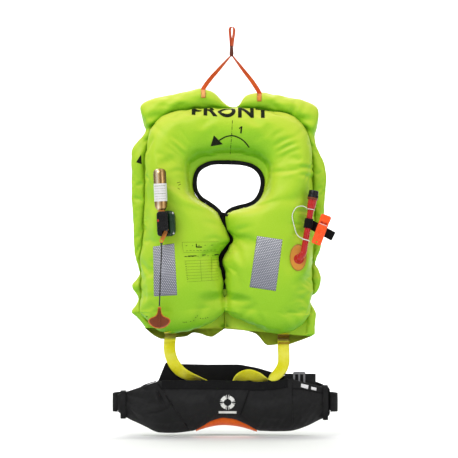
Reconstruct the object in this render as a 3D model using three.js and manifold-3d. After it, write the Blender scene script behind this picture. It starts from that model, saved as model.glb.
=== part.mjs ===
// Inflatable belt-pack life jacket, shown inflated and hung by the tape loop at its collar.
// Units are millimetres. +Z is up, +X is to the right seen from the front, and the front faces -Y.
// The origin is the bearing point at the top of the hanging loop.
import * as THREE from 'three';
import { mergeVertices } from 'three/addons/utils/BufferGeometryUtils.js';
import { LoftGeometry } from 'three/addons/geometries/LoftGeometry.js';
import Module from 'manifold-3d';

const wasm = await Module();
wasm.setup();

// ---------------------------------------------------------------- driving dimensions
const GAP = 0.5;            // half the gap between the two air chambers
const DOME = 2.6;           // superellipse exponent of a chamber's section
const BINDING_W = 8.8;      // width of the neck binding
const BINDING_T = 5;        // half its depth
const TAPE_W = 9;           // hanging tape
const TAPE_T = 1.6;
const STRAP_W = 24;         // yellow straps between bladder and pouch
const STRAP_T = 1.8;
const BELT_W = 38;          // waist webbing
const BELT_T = 2;
const PIVOT_Y = -9;         // the yellow straps leave the bladder here
const PIVOT_Z = -656.6;
const POUCH_Y = -19.3;        // front face of the pouch's rear panel
const SHELL = 3;            // pouch fabric with its foam
const REAR_T = 7;
const BELT_Z = -771.5;      // middle of the waist webbing
const BELT_BACK = 66;       // how far the closed belt stands behind the rear panel
const CYL_R = 13;           // gas cylinder
const CYL_Y = -84;          // its axis
const INFLATOR = [-133.2, -405.3];
const INFLATOR_TILT = -0.0439;
const LEVER_PIVOT = [0.6, -13];
const LEVER_TIP = [-11, -34.2];
const PIN_STROKE = 3;
const TUBE_R = 6.3;
const TUBE_BASE = new THREE.Vector3(145.1, -71, -463.3);
const TUBE_AXIS = new THREE.Vector3(20.3, 11, 118.1).normalize();
const WHISTLE_AT = new THREE.Vector3(180.8, -65, -417.6);
const WHISTLE_TILT = 0.3566;
const BUCKLE_Y = POUCH_Y + REAR_T + BELT_BACK;

// chamber sections: inner edge x, z, outer edge x, z, height of the dome
const FRONT_SECTIONS = [
  [-16.4, -621.1, -155.8, -637.5, 10],
  [-16.4, -598.6, -184.5, -610.9, 38],
  [-15.4, -571.9, -190.6, -586.3, 50],
  [-23.6, -541.2, -190.6, -545.3, 57],
  [-27.3, -504.3, -190.6, -506.3, 60],
  [-27.9, -473.5, -190.6, -471.5, 60],
  [-17.6, -451.0, -186.5, -436.6, 60],
  [-10.7, -435.2, -184.5, -401.8, 60],
  [-26.6, -402.8, -182.4, -369.0, 60],
  [-44.1, -376.2, -181.4, -340.3, 59],
  [-67.0, -360.8, -180.4, -311.6, 58],
  [-81.2, -343.4, -179.4, -278.8, 56],
  [-82.6, -317.8, -174.2, -241.9, 52],
  [-77.1, -295.6, -164.0, -209.1, 46],
  [-60.5, -281.3, -141.4, -185.5, 42],
  [-35.9, -274.3, -82.0, -171.2, 42],
  [-6.1, -272.2, 0.0, -167.1, 44],
  [21.5, -273.9, 79.9, -181.4, 42],
  [47.1, -282.9, 125.0, -194.7, 44],
  [62.5, -298.3, 145.5, -215.2, 48],
  [68.3, -315.7, 157.8, -239.8, 52],
  [66.2, -337.2, 165.0, -266.5, 55],
  [58.4, -355.3, 167.1, -295.2, 56],
  [45.1, -367.6, 168.1, -328.0, 58],
  [31.8, -374.3, 170.1, -356.7, 59],
  [16.4, -378.4, 172.2, -385.4, 60],
  [-3.1, -390.5, 173.2, -414.1, 60],
  [-5.3, -415.1, 173.2, -438.7, 60],
  [5.5, -435.2, 171.2, -463.3, 60],
  [-2.5, -453.5, 169.1, -487.9, 60],
  [-13.9, -478.7, 168.1, -514.5, 60],
  [-13.1, -504.3, 168.1, -543.2, 57],
  [-9.6, -537.1, 166.0, -569.9, 52],
  [-17.2, -571.9, 164.0, -592.4, 46],
  [-17.2, -598.6, 159.9, -615.0, 34],
  [-16.4, -621.1, 145.5, -635.5, 10]
];
const REAR_SECTIONS = [
  [-16.4, -621.1, -147.6, -651.9, 12],
  [-16.4, -598.6, -186.5, -615.0, 28],
  [-15.4, -571.9, -210.1, -588.3, 40],
  [-23.6, -541.2, -205.0, -549.4, 46],
  [-27.3, -504.3, -194.7, -506.3, 50],
  [-27.9, -473.5, -199.9, -473.5, 50],
  [-17.6, -451.0, -204.0, -444.8, 50],
  [-10.7, -435.2, -207.0, -414.1, 50],
  [-26.6, -402.8, -209.1, -381.3, 50],
  [-44.1, -376.2, -210.5, -348.5, 49],
  [-67.0, -360.8, -210.5, -315.7, 48],
  [-81.2, -343.4, -211.1, -282.9, 47],
  [-82.6, -317.8, -202.9, -241.9, 44],
  [-77.1, -295.6, -190.6, -200.9, 40],
  [-60.5, -281.3, -188.6, -159.9, 30],
  [-35.9, -274.3, -82.0, -133.2, 26],
  [-6.1, -272.2, 2.0, -163.0, 30],
  [21.5, -273.9, 82.0, -136.3, 26],
  [47.1, -282.9, 174.2, -164.0, 30],
  [62.5, -298.3, 177.3, -196.8, 38],
  [68.3, -315.7, 174.2, -229.6, 42],
  [66.2, -337.2, 180.4, -260.3, 46],
  [58.4, -355.3, 186.5, -291.1, 48],
  [45.1, -367.6, 191.3, -321.8, 48],
  [31.8, -374.3, 191.3, -350.5, 49],
  [16.4, -378.4, 188.6, -379.2, 50],
  [-3.1, -390.5, 187.6, -407.9, 50],
  [-5.3, -415.1, 184.5, -434.6, 50],
  [5.5, -435.2, 181.4, -459.2, 50],
  [-2.5, -453.5, 178.3, -483.8, 50],
  [-13.9, -478.7, 178.3, -508.4, 48],
  [-13.1, -504.3, 181.4, -537.1, 44],
  [-9.6, -537.1, 169.1, -561.7, 40],
  [-17.2, -571.9, 168.1, -584.2, 36],
  [-17.2, -598.6, 175.3, -615.0, 26],
  [-16.4, -621.1, 135.3, -651.9, 12]
];
// neck opening, left and right halves from the top and the bottom, and the line of the front slit
const HOLE_L = [[-12.3, -283.3], [-34.8, -285.4], [-55.3, -292.1], [-66.6, -301.3], [-71.1, -313.6], [-71.3, -328.0], [-68.5, -340.3], [-59.4, -351.0], [-45.1, -359.8], [-34.2, -366.9], [-23.6, -377.2], [-17.2, -386.4]];
const HOLE_R = [[-13.9, -381.7], [-4.1, -373.5], [11.3, -366.9], [30.7, -362.4], [41.0, -356.7], [49.2, -347.5], [55.3, -334.1], [57.8, -319.8], [54.3, -305.4], [41.0, -293.1], [18.4, -284.9]];
const SLIT = [[-17.6, -386.4], [-19.9, -399.7], [-12.3, -418.2], [-2.0, -434.6], [-9.2, -450.0], [-17.8, -465.3], [-22.5, -479.7], [-20.5, -504.3], [-17.0, -533.0]];
// pouch front: x, top z, bottom z, depth of the bag
const STATIONS = [
  [-233.7, -754.4, -790.3, 12],
  [-221.4, -750.3, -799.5, 15],
  [-202.9, -744.8, -809.7, 20],
  [-183.5, -738.0, -816.9, 28],
  [-164.0, -730.8, -828.2, 36],
  [-151.7, -726.7, -832.7, 40],
  [-135.3, -724.9, -833.5, 43],
  [-114.8, -724.9, -833.5, 45],
  [-94.3, -724.9, -831.3, 47],
  [-79.9, -724.9, -828.8, 48],
  [-63.5, -724.9, -820.0, 48],
  [-43.0, -724.9, -806.9, 49],
  [-20.5, -724.9, -799.9, 50],
  [6.1, -725.3, -803.2, 50],
  [30.7, -726.3, -814.5, 49],
  [55.3, -727.7, -828.8, 48],
  [82.0, -726.7, -830.2, 46],
  [102.5, -723.6, -830.2, 43],
  [120.9, -720.6, -829.6, 40],
  [139.4, -726.9, -825.1, 36],
  [157.8, -731.0, -817.9, 30],
  [178.3, -737.0, -807.3, 22],
  [196.8, -741.1, -799.5, 14]
];
const REAR_PANEL = [[-233.7, -754.4], [-209.1, -747.4], [-176.3, -735.9], [-151.7, -728.8], [-146.6, -715.4], [-135.7, -688.8], [-127.1, -691.3], [-109.7, -692.9], [-49.2, -694.1], [15.4, -693.9], [53.3, -701.1], [92.2, -712.8], [106.6, -717.5], [149.6, -717.5], [164.0, -726.9], [180.4, -731.8], [200.9, -742.1], [200.9, -798.5], [178.3, -807.3], [149.6, -821.0], [123.0, -829.6], [56.4, -829.6], [30.7, -819.0], [8.2, -810.8], [-20.5, -807.7], [-49.2, -813.8], [-79.9, -828.8], [-118.9, -833.5], [-145.5, -833.5], [-164.0, -828.2], [-202.9, -809.7], [-233.7, -790.3]];
const LINING_LOW = [[-76.9, -828.2], [-51.2, -820.0], [-20.5, -815.1], [16.4, -818.4], [54.1, -829.2]];

// ---------------------------------------------------------------- helpers
const root = new THREE.Group();
const V = (x, y, z) => new THREE.Vector3(x, y, z);
const mat = (color, roughness = 0.7, metalness = 0) =>
  new THREE.MeshStandardMaterial({ color, roughness, metalness });

const LIME = mat('#a6d62b', 0.5), BLACK = mat('#202020', 0.85), NYLON = mat('#2b2b2d', 0.6);
const YELLOW = mat('#f2f01e', 0.7), ORANGE = mat('#f0540f', 0.6), CORD = mat('#d9451c', 0.8);
const RED = mat('#d62b2b', 0.35), SILVER = mat('#b9bcc4', 0.3, 0.4), BRASS = mat('#b58a4a', 0.3, 0.9);
const STEEL = mat('#a8a8a8', 0.3, 0.9), WHITE = mat('#f4f4f0', 0.6), GREEN = mat('#12401f', 0.45);
const BROWN = mat('#6b2a12', 0.5), AMBER = mat('#d9952f', 0.4), GREY = mat('#77797c', 0.5);

function add(name, geometry, material, parent = root) {
  const m = new THREE.Mesh(geometry, material);
  m.name = name;
  parent.add(m);
  return m;
}

function volume(g) {
  const p = g.getAttribute('position'), ix = g.index;
  const n = ix ? ix.count : p.count;
  const a = V(), b = V(), c = V();
  let v = 0;
  for (let i = 0; i < n; i += 3) {
    const [i0, i1, i2] = ix ? [ix.getX(i), ix.getX(i + 1), ix.getX(i + 2)] : [i, i + 1, i + 2];
    a.fromBufferAttribute(p, i0); b.fromBufferAttribute(p, i1); c.fromBufferAttribute(p, i2);
    v += a.dot(b.clone().cross(c)) / 6;
  }
  return v;
}

// a closed skin through cross sections, facing out
function loft(sections) {
  let g = new LoftGeometry(sections, { capStart: true, capEnd: true });
  if (volume(g) < 0) g = new LoftGeometry(sections.map((s) => [...s].reverse()), { capStart: true, capEnd: true });
  return g;
}

function toSolid(g) {
  const h = new THREE.BufferGeometry();
  h.setAttribute('position', g.getAttribute('position').clone());
  if (g.index) h.setIndex(g.index.clone());
  const m = mergeVertices(h, 1e-3);
  let tri = new Uint32Array(m.index ? m.index.array : [...Array(m.attributes.position.count).keys()]);
  return new wasm.Manifold(new wasm.Mesh({ numProp: 3, vertProperties: m.attributes.position.array, triVerts: tri }));
}
function fromSolid(s) {
  const m = s.getMesh();
  const n = m.numProp, v = new Float32Array(m.numVert * 3);
  for (let i = 0; i < m.numVert; i++) v.set(m.vertProperties.subarray(i * n, i * n + 3), i * 3);
  const g = new THREE.BufferGeometry();
  g.setAttribute('position', new THREE.BufferAttribute(v, 3));
  g.setIndex(new THREE.BufferAttribute(new Uint32Array(m.triVerts), 1));
  g.computeVertexNormals();
  return g;
}
const cut = (g, ...tools) => fromSolid(tools.reduce((s, t) => s.subtract(toSolid(t)), toSolid(g)));
const join = (g, ...more) => fromSolid(more.reduce((s, t) => s.add(toSolid(t)), toSolid(g)));

// flat ribbon or webbing along a path of [x, y, z, wx, wy, wz]: w is the direction of its width
function ribbon(points, width, thick, steps) {
  const curve = new THREE.CatmullRomCurve3(points.map((p) => V(p[0], p[1], p[2])));
  const wide = new THREE.CatmullRomCurve3(points.map((p) => V(p[3], p[4], p[5])));
  const sections = [];
  for (let i = 0; i <= steps; i++) {
    const t = i / steps, c = curve.getPoint(t), d = curve.getTangent(t);
    const w = wide.getPoint(t);
    w.addScaledVector(d, -w.dot(d)).normalize();
    const n = d.clone().cross(w).normalize();
    const a = w.clone().multiplyScalar(width / 2), b = n.clone().multiplyScalar(thick / 2);
    sections.push([c.clone().add(a).add(b), c.clone().sub(a).add(b), c.clone().sub(a).sub(b), c.clone().add(a).sub(b)]);
  }
  return loft(sections);
}

// round cord along a path
function cord(points, r, steps, sides = 8, closed = false) {
  const curve = new THREE.CatmullRomCurve3(points.map((p) => V(...p)), closed);
  const s = new THREE.Shape();
  for (let i = 0; i < sides; i++) {
    const a = (2 * Math.PI * i) / sides;
    i ? s.lineTo(r * Math.cos(a), r * Math.sin(a)) : s.moveTo(r, 0);
  }
  s.closePath();
  return new THREE.ExtrudeGeometry(s, { extrudePath: curve, steps, bevelEnabled: false });
}

// plate in the XZ plane between y0 and y1
function plate(shape, y0, y1, curveSegments = 6) {
  const g = new THREE.ExtrudeGeometry(shape, { depth: Math.abs(y1 - y0), bevelEnabled: false, curveSegments });
  g.rotateX(Math.PI / 2);
  g.translate(0, Math.max(y0, y1), 0);
  return g;
}
function polygon(points, holes = []) {
  const s = new THREE.Shape(points.map(([x, z]) => new THREE.Vector2(x, z)));
  for (const h of holes) s.holes.push(new THREE.Path(h.map(([x, z]) => new THREE.Vector2(x, z))));
  return s;
}
function roundedRect(x0, z0, x1, z1, r) {
  const s = new THREE.Shape();
  s.moveTo(x0 + r, z0); s.lineTo(x1 - r, z0); s.absarc(x1 - r, z0 + r, r, -Math.PI / 2, 0, false);
  s.lineTo(x1, z1 - r); s.absarc(x1 - r, z1 - r, r, 0, Math.PI / 2, false);
  s.lineTo(x0 + r, z1); s.absarc(x0 + r, z1 - r, r, Math.PI / 2, Math.PI, false);
  s.lineTo(x0, z0 + r); s.absarc(x0 + r, z0 + r, r, Math.PI, 1.5 * Math.PI, false);
  return s;
}
const box = (x0, x1, y0, y1, z0, z1) =>
  new THREE.BoxGeometry(x1 - x0, y1 - y0, z1 - z0).translate((x0 + x1) / 2, (y0 + y1) / 2, (z0 + z1) / 2);
// turned piece about Z from [r, z] points, from the axis to the axis or closed on itself
function turned(profile, segments = 24) {
  const g = new THREE.LatheGeometry(profile.map(([r, z]) => new THREE.Vector2(r, z)), segments);
  g.rotateX(Math.PI / 2);
  if (volume(g) < 0) {
    const h = new THREE.LatheGeometry([...profile].reverse().map(([r, z]) => new THREE.Vector2(r, z)), segments);
    h.rotateX(Math.PI / 2);
    return h;
  }
  return g;
}
const rodY = (r, y0, y1, x, z, seg = 16) =>
  new THREE.CylinderGeometry(r, r, Math.abs(y1 - y0), seg).translate(0, (y0 + y1) / 2, 0).translate(x, 0, z);
const rodZ = (r, z0, z1, x, y, seg = 20) =>
  new THREE.CylinderGeometry(r, r, z1 - z0, seg).rotateX(Math.PI / 2).translate(x, y, (z0 + z1) / 2);

// how far out a part's front surface stands at x, z
const ray = new THREE.Raycaster();
function surface(mesh, x, z) {
  ray.set(V(x, -600, z), V(0, 1, 0));
  const hit = ray.intersectObject(mesh, false);
  if (!hit.length) throw new Error(`no surface of ${mesh.name} at ${x}, ${z}`);
  return hit[0].point.y;
}
// a thin patch that lies on the front of a part: corners top left, top right, bottom right, bottom left
function patch(mesh, [tl, tr, br, bl], nx, nz, off, thick) {
  const g = new THREE.BoxGeometry(1, 1, 1, nx, 1, nz);
  const p = g.getAttribute('position');
  for (let i = 0; i < p.count; i++) {
    const u = p.getX(i) + 0.5, v = 0.5 - p.getZ(i), outer = p.getY(i) < 0;
    const x = (tl[0] * (1 - u) + tr[0] * u) * (1 - v) + (bl[0] * (1 - u) + br[0] * u) * v;
    const z = (tl[1] * (1 - u) + tr[1] * u) * (1 - v) + (bl[1] * (1 - u) + br[1] * u) * v;
    p.setXYZ(i, x, surface(mesh, x, z) - off - (outer ? thick : 0), z);
  }
  g.computeVertexNormals();
  return g;
}

// ---------------------------------------------------------------- air chambers
function chamber(table, side, bridge) {
  const sections = table.map(([ix, iz, ox, oz, t]) => {
    const pts = [];
    const n = 9;
    for (let k = 0; k <= n; k++) {
      const u = (1 - Math.cos((Math.PI * k) / n)) / 2;
      const dome = Math.pow(1 - Math.pow(Math.abs(1 - 2 * u), DOME), 1 / DOME);
      pts.push(V(ix + (ox - ix) * u, side * (GAP + t * dome), iz + (oz - iz) * u));
    }
    return pts;
  });
  // the web that joins the two lobes under the slit
  const web = bridge.map(([x, z, w, t]) => {
    const pts = [];
    for (let k = 0; k <= 6; k++) {
      const a = (Math.PI * k) / 6;
      pts.push(V(x - w * Math.cos(a), side * (GAP + t * Math.sin(a)), z));
    }
    return pts;
  });
  return join(loft(sections), loft(web));
}
const WEB = [[-16.0, -567.8, 12, 16], [-16.0, -582.2, 20, 27], [-16.0, -600.6, 20, 24], [-15.4, -621.1, 20, 8]];
const frontChamber = add('bladder_front_chamber', chamber(FRONT_SECTIONS, -1, WEB), LIME);
const rearChamber = add('bladder_rear_chamber', chamber(REAR_SECTIONS, 1, WEB), LIME);

// ---------------------------------------------------------------- neck binding, round the opening and down the slit
function offset(line, d) {
  return line.map((p, i) => {
    const a = line[Math.max(i - 1, 0)], b = line[Math.min(i + 1, line.length - 1)];
    const dx = b[0] - a[0], dz = b[1] - a[1], l = Math.hypot(dx, dz);
    const w = Array.isArray(d) ? d[i] : d;
    return [p[0] + (dz / l) * w, p[1] - (dx / l) * w];
  });
}
{
  const slitL = offset(SLIT, 0.6), slitR = offset(SLIT, -0.6).reverse();
  const slitLo = offset(SLIT, 4.8), slitRo = offset(SLIT, -4.8).reverse();
  const inner = [...HOLE_L.slice(0, -1), ...slitL.slice(1), ...slitR.slice(0, -1), ...HOLE_R];
  const left = offset(HOLE_L.slice(0, -1), BINDING_W), right = offset(HOLE_R.slice(1), BINDING_W);
  const outer = [...left, ...slitLo.slice(1).slice(0, -1), [slitLo.at(-1)[0], slitLo.at(-1)[1] - 5],
    [slitRo[0][0], slitRo[0][1] - 5], ...slitRo.slice(1, -1), ...right];
  add('neck_binding', plate(polygon(outer, [inner]), -BINDING_T, BINDING_T), BLACK);
}

// ---------------------------------------------------------------- hanging tape
const KNOT = [-1, -50.0];
{
  add('hang_loop', ribbon([
    [-2.6, 0, -38.1, 0, 1, 0], [-3.2, 0, -26, 0, 1, 0], [-4.6, 0, -12, 0, 1, 0], [-4.2, 0, -4.2, 0, 1, 0], [0, 0, -0.8, 0, 1, 0],
    [4.2, 0, -4.2, 0, 1, 0], [4.6, 0, -12, 0, 1, 0], [2.2, 0, -26, 0, 1, 0], [0.9, 0, -38.1, 0, 1, 0]], TAPE_W, TAPE_T, 28), CORD);
  add('hang_knot', turned([[0, -39.4], [3.2, -39.4], [5.2, -47.1], [5.4, -55.3], [4.4, -60.7], [0, -60.7]], 14)
    .translate(-1, 0, 0), BROWN);
  add('hang_tape_left', ribbon([
    [-3.4, 0, -62.7, 0, 1, 0], [-16.4, 0, -77.9, 0.35, 0.9, 0], [-36.9, -0.8, -101.7, 0.75, 0.6, 0.3], [-52.3, -2, -119.9, 1, 0.1, 0.4],
    [-58.2, -2.6, -130.2, 1, 0, 0.2], [-58.6, -2.9, -147.6, 1, 0, 0]], TAPE_W, TAPE_T, 20), CORD);
  add('hang_tape_right', ribbon([
    [1.4, 0, -62.7, 0, 1, 0], [13.5, 0, -79.9, -0.35, 0.9, 0], [32.8, -0.8, -106.6, -0.75, 0.6, 0.3], [48.0, -2, -127.1, -1, 0.1, 0.4],
    [54.7, -2.6, -137.3, -1, 0, 0.2], [55.3, -2.9, -153.8, -1, 0, 0]], TAPE_W, TAPE_T, 20), CORD);
}

// ---------------------------------------------------------------- reflective tapes
add('reflective_tape_left', patch(frontChamber, [[-160.9, -452.0], [-117.5, -445.3], [-111.5, -550.6], [-159.1, -553.3]], 4, 8, 1.4, 0.8), SILVER);
add('reflective_tape_right', patch(frontChamber, [[50.6, -430.1], [102.5, -437.7], [89.0, -542.2], [35.7, -534.4]], 4, 8, 1.4, 0.8), SILVER);

// ---------------------------------------------------------------- manual inflator on the wearer's right lobe
const inflator = new THREE.Group();
inflator.position.set(INFLATOR[0], 0, INFLATOR[1]);
inflator.rotation.y = INFLATOR_TILT;
root.add(inflator);
const CX = -8.6; // the cylinder's axis in the inflator's own frame
{
  add('manifold_flange', rodY(17, -62.7, -60.8, 2, 0, 28), BLACK, inflator);
  const base = plate(roundedRect(-19, -26, 19, 26, 9), -74, -63.1, 5);
  const side = plate(roundedRect(4.9, -25, 18.4, 25, 6), -88, -73, 4);
  add('inflator_cover', join(base, side), GREEN, inflator);

  const block = plate(roundedRect(-18.4, -25, 4.2, 25, 4), -97, -74.4, 3);
  add('inflator_body', cut(block,
    rodZ(5.3, -16, 26, CX, CYL_Y, 20),
    box(-15.5, 5.5, -87, -79, -26, -8.2),
    rodY(1.9, -98, -73, LEVER_PIVOT[0], LEVER_PIVOT[1], 14)), BLACK, inflator);

  add('lever_pivot_pin', rodY(1.55, -96.4, -75, LEVER_PIVOT[0], LEVER_PIVOT[1], 14), STEEL, inflator);
  // lever: a strip with a boss at the pin and a hole for the cord at its tip
  const dx = LEVER_TIP[0] - LEVER_PIVOT[0], dz = LEVER_TIP[1] - LEVER_PIVOT[1], l = Math.hypot(dx, dz);
  const a = Math.atan2(dz, dx);
  const s = new THREE.Shape();
  s.absarc(0, 0, 4.2, Math.PI / 2, 1.5 * Math.PI, false);
  s.absarc(l, 0, 4.2, -Math.PI / 2, Math.PI / 2, false);
  s.closePath();
  const pin = new THREE.Path(); pin.absarc(0, 0, 1.9, 0, 2 * Math.PI, false); s.holes.push(pin);
  const eye = new THREE.Path(); eye.absarc(l, 0, 1.9, 0, 2 * Math.PI, false); s.holes.push(eye);
  const lever = plate(s, -86, -80, 8);
  lever.rotateY(-a);
  lever.translate(LEVER_PIVOT[0], 0, LEVER_PIVOT[1]);
  add('firing_lever', lever, ORANGE, inflator);

  add('firing_pin', turned([[0, -7.8], [4.4, -7.8], [4.4, -5.4], [1.5, -5.4], [1.5, 5.5], [0, 8.2]], 16).translate(CX, CYL_Y, 0), STEEL, inflator);
  const coil = [];
  for (let i = 0; i <= 40; i++) coil.push([CX + 3.3 * Math.cos((2 * Math.PI * i) / 8), CYL_Y + 3.3 * Math.sin((2 * Math.PI * i) / 8), -4.6 + (13.4 * i) / 40]);
  add('firing_spring', cord(coil, 0.45, 60, 6), STEEL, inflator);
  add('cylinder_seal', turned([[2.1, 9.5], [5.1, 9.5], [5.1, 11.1], [2.1, 11.1], [2.1, 9.5]], 20).translate(CX, CYL_Y, 0), BLACK, inflator);
  add('status_indicator', plate(roundedRect(-17.6, 4.2, -13.8, 9.4, 1.2), -99, -97.4, 3), RED, inflator);

  // gas cylinder: neck down, domed top
  add('gas_cylinder', turned([[0, 11.6], [4.9, 11.6], [4.9, 27.5], [8, 28.5], [11.4, 32], [12.8, 37], [CYL_R, 42], [CYL_R, 101], [12.3, 106], [9.5, 110], [5, 111.7], [0, 112]], 28)
    .translate(CX, CYL_Y, 0), BRASS, inflator);
  add('cylinder_label', turned([[13.3, 45.5], [13.8, 45.5], [13.8, 81.4], [13.3, 81.4], [13.3, 45.5]], 28).translate(CX, CYL_Y, 0), WHITE, inflator);
}
// pull line and handle hang from the lever's eye
const TIP = V(LEVER_TIP[0], 0, LEVER_TIP[1]).applyAxisAngle(V(0, 1, 0), INFLATOR_TILT).add(V(INFLATOR[0], 0, INFLATOR[1]));
const CORD_Y = -83;
add('pull_cord', cord([
  [TIP.x, CORD_Y, TIP.z - 4.8], [TIP.x + 0.1, CORD_Y, TIP.z - 25], [TIP.x - 1.6, CORD_Y, TIP.z - 60],
  [TIP.x - 2.8, CORD_Y, TIP.z - 95], [TIP.x - 4.2, CORD_Y, -574.0 + 2]], 1.5, 30, 8), BLACK);
{
  const x = TIP.x - 4.2, z = -574.0;
  const s = new THREE.Shape();
  s.moveTo(x - 3, z); s.lineTo(x + 3, z); s.lineTo(x + 4.2, z - 11);
  s.quadraticCurveTo(x + 9, z - 18, x + 18, z - 21.5);
  s.quadraticCurveTo(x + 23.5, z - 25, x + 22, z - 31);
  s.quadraticCurveTo(x + 14, z - 43, x, z - 43.5);
  s.quadraticCurveTo(x - 14, z - 43, x - 22, z - 31);
  s.quadraticCurveTo(x - 23.5, z - 25, x - 18, z - 21.5);
  s.quadraticCurveTo(x - 9, z - 18, x - 4.2, z - 11);
  s.closePath();
  const g = new THREE.ExtrudeGeometry(s, { depth: 5, bevelEnabled: true, bevelThickness: 1.8, bevelSize: 1.4, bevelOffset: -1.4, bevelSegments: 1, curveSegments: 5 });
  g.rotateX(Math.PI / 2);
  g.translate(0, CORD_Y + 2.5, 0);
  add('pull_handle', g, BROWN);
}

// ---------------------------------------------------------------- oral inflation tube on the wearer's left lobe
{
  const f = new THREE.Shape();
  f.absellipse(134.3, -474.2, 17, 27, 0, 2 * Math.PI, false, 0);
  add('oral_flange', plate(f, -61.6, -59.0, 14), AMBER);
  // elbow: out of the flange and up into the hose
  add('oral_elbow', join(
    cord([[135.9, -63.9, -476.8], [135.9, -66.2, -476.8], [139.8, -69.6, -471.5], [TUBE_BASE.x, TUBE_BASE.y, TUBE_BASE.z]], 6.6, 6, 12),
    new THREE.SphereGeometry(6.65, 14, 10).translate(TUBE_BASE.x, TUBE_BASE.y, TUBE_BASE.z)), RED);
}
const tube = new THREE.Group();
tube.position.copy(TUBE_BASE);
tube.quaternion.setFromUnitVectors(V(0, 0, 1), TUBE_AXIS);
root.add(tube);
{
  add('oral_hose', turned([[3.6, 7.4], [TUBE_R, 7.4], [TUBE_R, 89.6], [3.6, 89.6], [3.6, 7.4]], 20), RED, tube);
  add('valve_housing', turned([[2.6, 90], [6.6, 90], [9, 94.5], [9, 112], [2.9, 112], [2.9, 110.2], [5.2, 110.2], [5.2, 97], [2.6, 97], [2.6, 90]], 24), RED, tube);
  add('valve_poppet', turned([[0, 93.4], [1.6, 93.4], [1.6, 107.3], [4.7, 107.3], [4.7, 109.7], [2.4, 109.7], [2.4, 114.6], [0, 114.6]], 16), WHITE, tube);
  const coil = [];
  for (let i = 0; i <= 32; i++) coil.push([3.4 * Math.cos((2 * Math.PI * i) / 8), 3.4 * Math.sin((2 * Math.PI * i) / 8), 97.9 + (8.7 * i) / 32]);
  add('valve_spring', cord(coil, 0.45, 48, 6), STEEL, tube);
  add('dust_cap', turned([[9.4, 108.4], [10.2, 108.4], [10.2, 118], [9.9, 126.2], [8.6, 127.6], [0, 127.6], [0, 124.4], [8.2, 124.4], [9.4, 122.5], [9.4, 108.4]], 24), BLACK, tube);
  // hook-and-loop retainer: a turn round the hose and a free tail
  const ring = turned([[6.7, 50], [8.7, 50], [8.7, 69.5], [6.7, 69.5], [6.7, 50]], 20);
  const tail = box(0, 54, 6.5, 8.6, -9.6, 9.6);
  tail.rotateY(0.32);
  tail.translate(3, 0, 59.8);
  add('retainer_strap', join(ring, tail), BLACK, tube);
}
// whistle
const whistle = new THREE.Group();
whistle.position.copy(WHISTLE_AT);
whistle.rotation.y = WHISTLE_TILT;
root.add(whistle);
{
  const blank = new THREE.ExtrudeGeometry(roundedRect(-10.2, -31.7, 10.2, 31.7, 4), { depth: 8.4, bevelEnabled: true, bevelThickness: 1.2, bevelSize: 1.2, bevelOffset: -1.2, bevelSegments: 1, curveSegments: 3 });
  blank.rotateX(Math.PI / 2);
  blank.translate(0, 1.2, 0);
  add('whistle', cut(blank,
    box(-7, 7, -5.2, -2.6, 12, 33),
    box(-7, 7, -9, -2.6, 12, 16.5),
    box(-7, 7, -6.4, -1, -14, 13),
    rodY(1.8, -10, 4, 0, -26.5, 12)), ORANGE, whistle);
}
add('whistle_lanyard', cord([
  [152.1, -64.5, -373.5], [146.6, -64.5, -370.6], [140.6, -64, -369.4], [131.2, -63, -372.1], [124.6, -62.5, -381.1],
  [122.2, -62.5, -391.3], [124.0, -62.5, -400.4], [127.1, -62.8, -413.1], [130.4, -64, -424.3], [135.9, -67.5, -431.7],
  [141.7, -75.4, -435.0], [149.0, -78.1, -437.9], [155.2, -76.2, -439.9], [157.6, -71.5, -441.6]], 0.9, 52, 8), WHITE);

// ---------------------------------------------------------------- yellow straps
const slab = (rows, thick) => loft(rows.map(([x0, x1, y, z]) => [V(x0, y - thick, z), V(x1, y - thick, z), V(x1, y, z), V(x0, y, z)]));
add('strap_anchor_left', slab([[-139.4, -114.4, -24, -626.3], [-139.8, -115.6, -13, -642.7], [-140.4, -116.4, PIVOT_Y + 0.9, -655.6]], 1.8), YELLOW);
add('strap_anchor_right', slab([[93.1, 119.7, -24, -630.4], [93.3, 118.9, -13, -644.7], [93.5, 118.1, PIVOT_Y + 0.9, -655.6]], 1.8), YELLOW);
add('yoke_strap_left', ribbon([
  [-128.5, PIVOT_Y, -657.6, 1, 0, 0], [-126.3, -14, -674.4, 1, 0, 0.1], [-119.3, -24, -690.8, 0.85, 0, 0.45], [-106.6, -24.5, -706.8, 0.7, -0.3, 0.75],
  [-88.1, -29, -717.1, 0.3, -0.65, 0.8], [-63.5, -33.5, -722.8, 0.1, -0.9, 0.3], [-43.0, -35, -730.8, 0, -1, 0.1], [-30.7, -35, -744.1, 0, -1, 0], [-26.6, -35, -762.6, 0, -1, 0]],
  STRAP_W, STRAP_T, 26), YELLOW);
add('yoke_strap_right', ribbon([
  [105.8, PIVOT_Y, -657.6, 1, 0, 0], [106.4, -12, -676.5, 1, 0, 0], [105.4, -16, -692.9, 1, 0, -0.15], [98.4, -24, -707.2, 0.8, -0.3, -0.6],
  [84.0, -31, -720.4, 0.4, -0.8, -0.6], [66.6, -34, -726.9, 0, -1, 0.1], [51.2, -34, -720.0, 0.3, -0.8, 0.6], [33.8, -33, -715.4, 0, -0.6, 0.8],
  [17.4, -34, -719.5, -0.3, -0.8, 0.6], [4.1, -35, -731.0, 0, -1, 0.1], [-2.0, -35, -746.2, 0, -1, 0], [-4.1, -35, -762.6, 0, -1, 0]],
  STRAP_W, STRAP_T, 34), YELLOW);

// ---------------------------------------------------------------- waist pouch
const BULGE = [[0, 0.78], [0.2, 0.93], [0.45, 1], [0.7, 0.86], [0.88, 0.52], [1, 0.16]];
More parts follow.
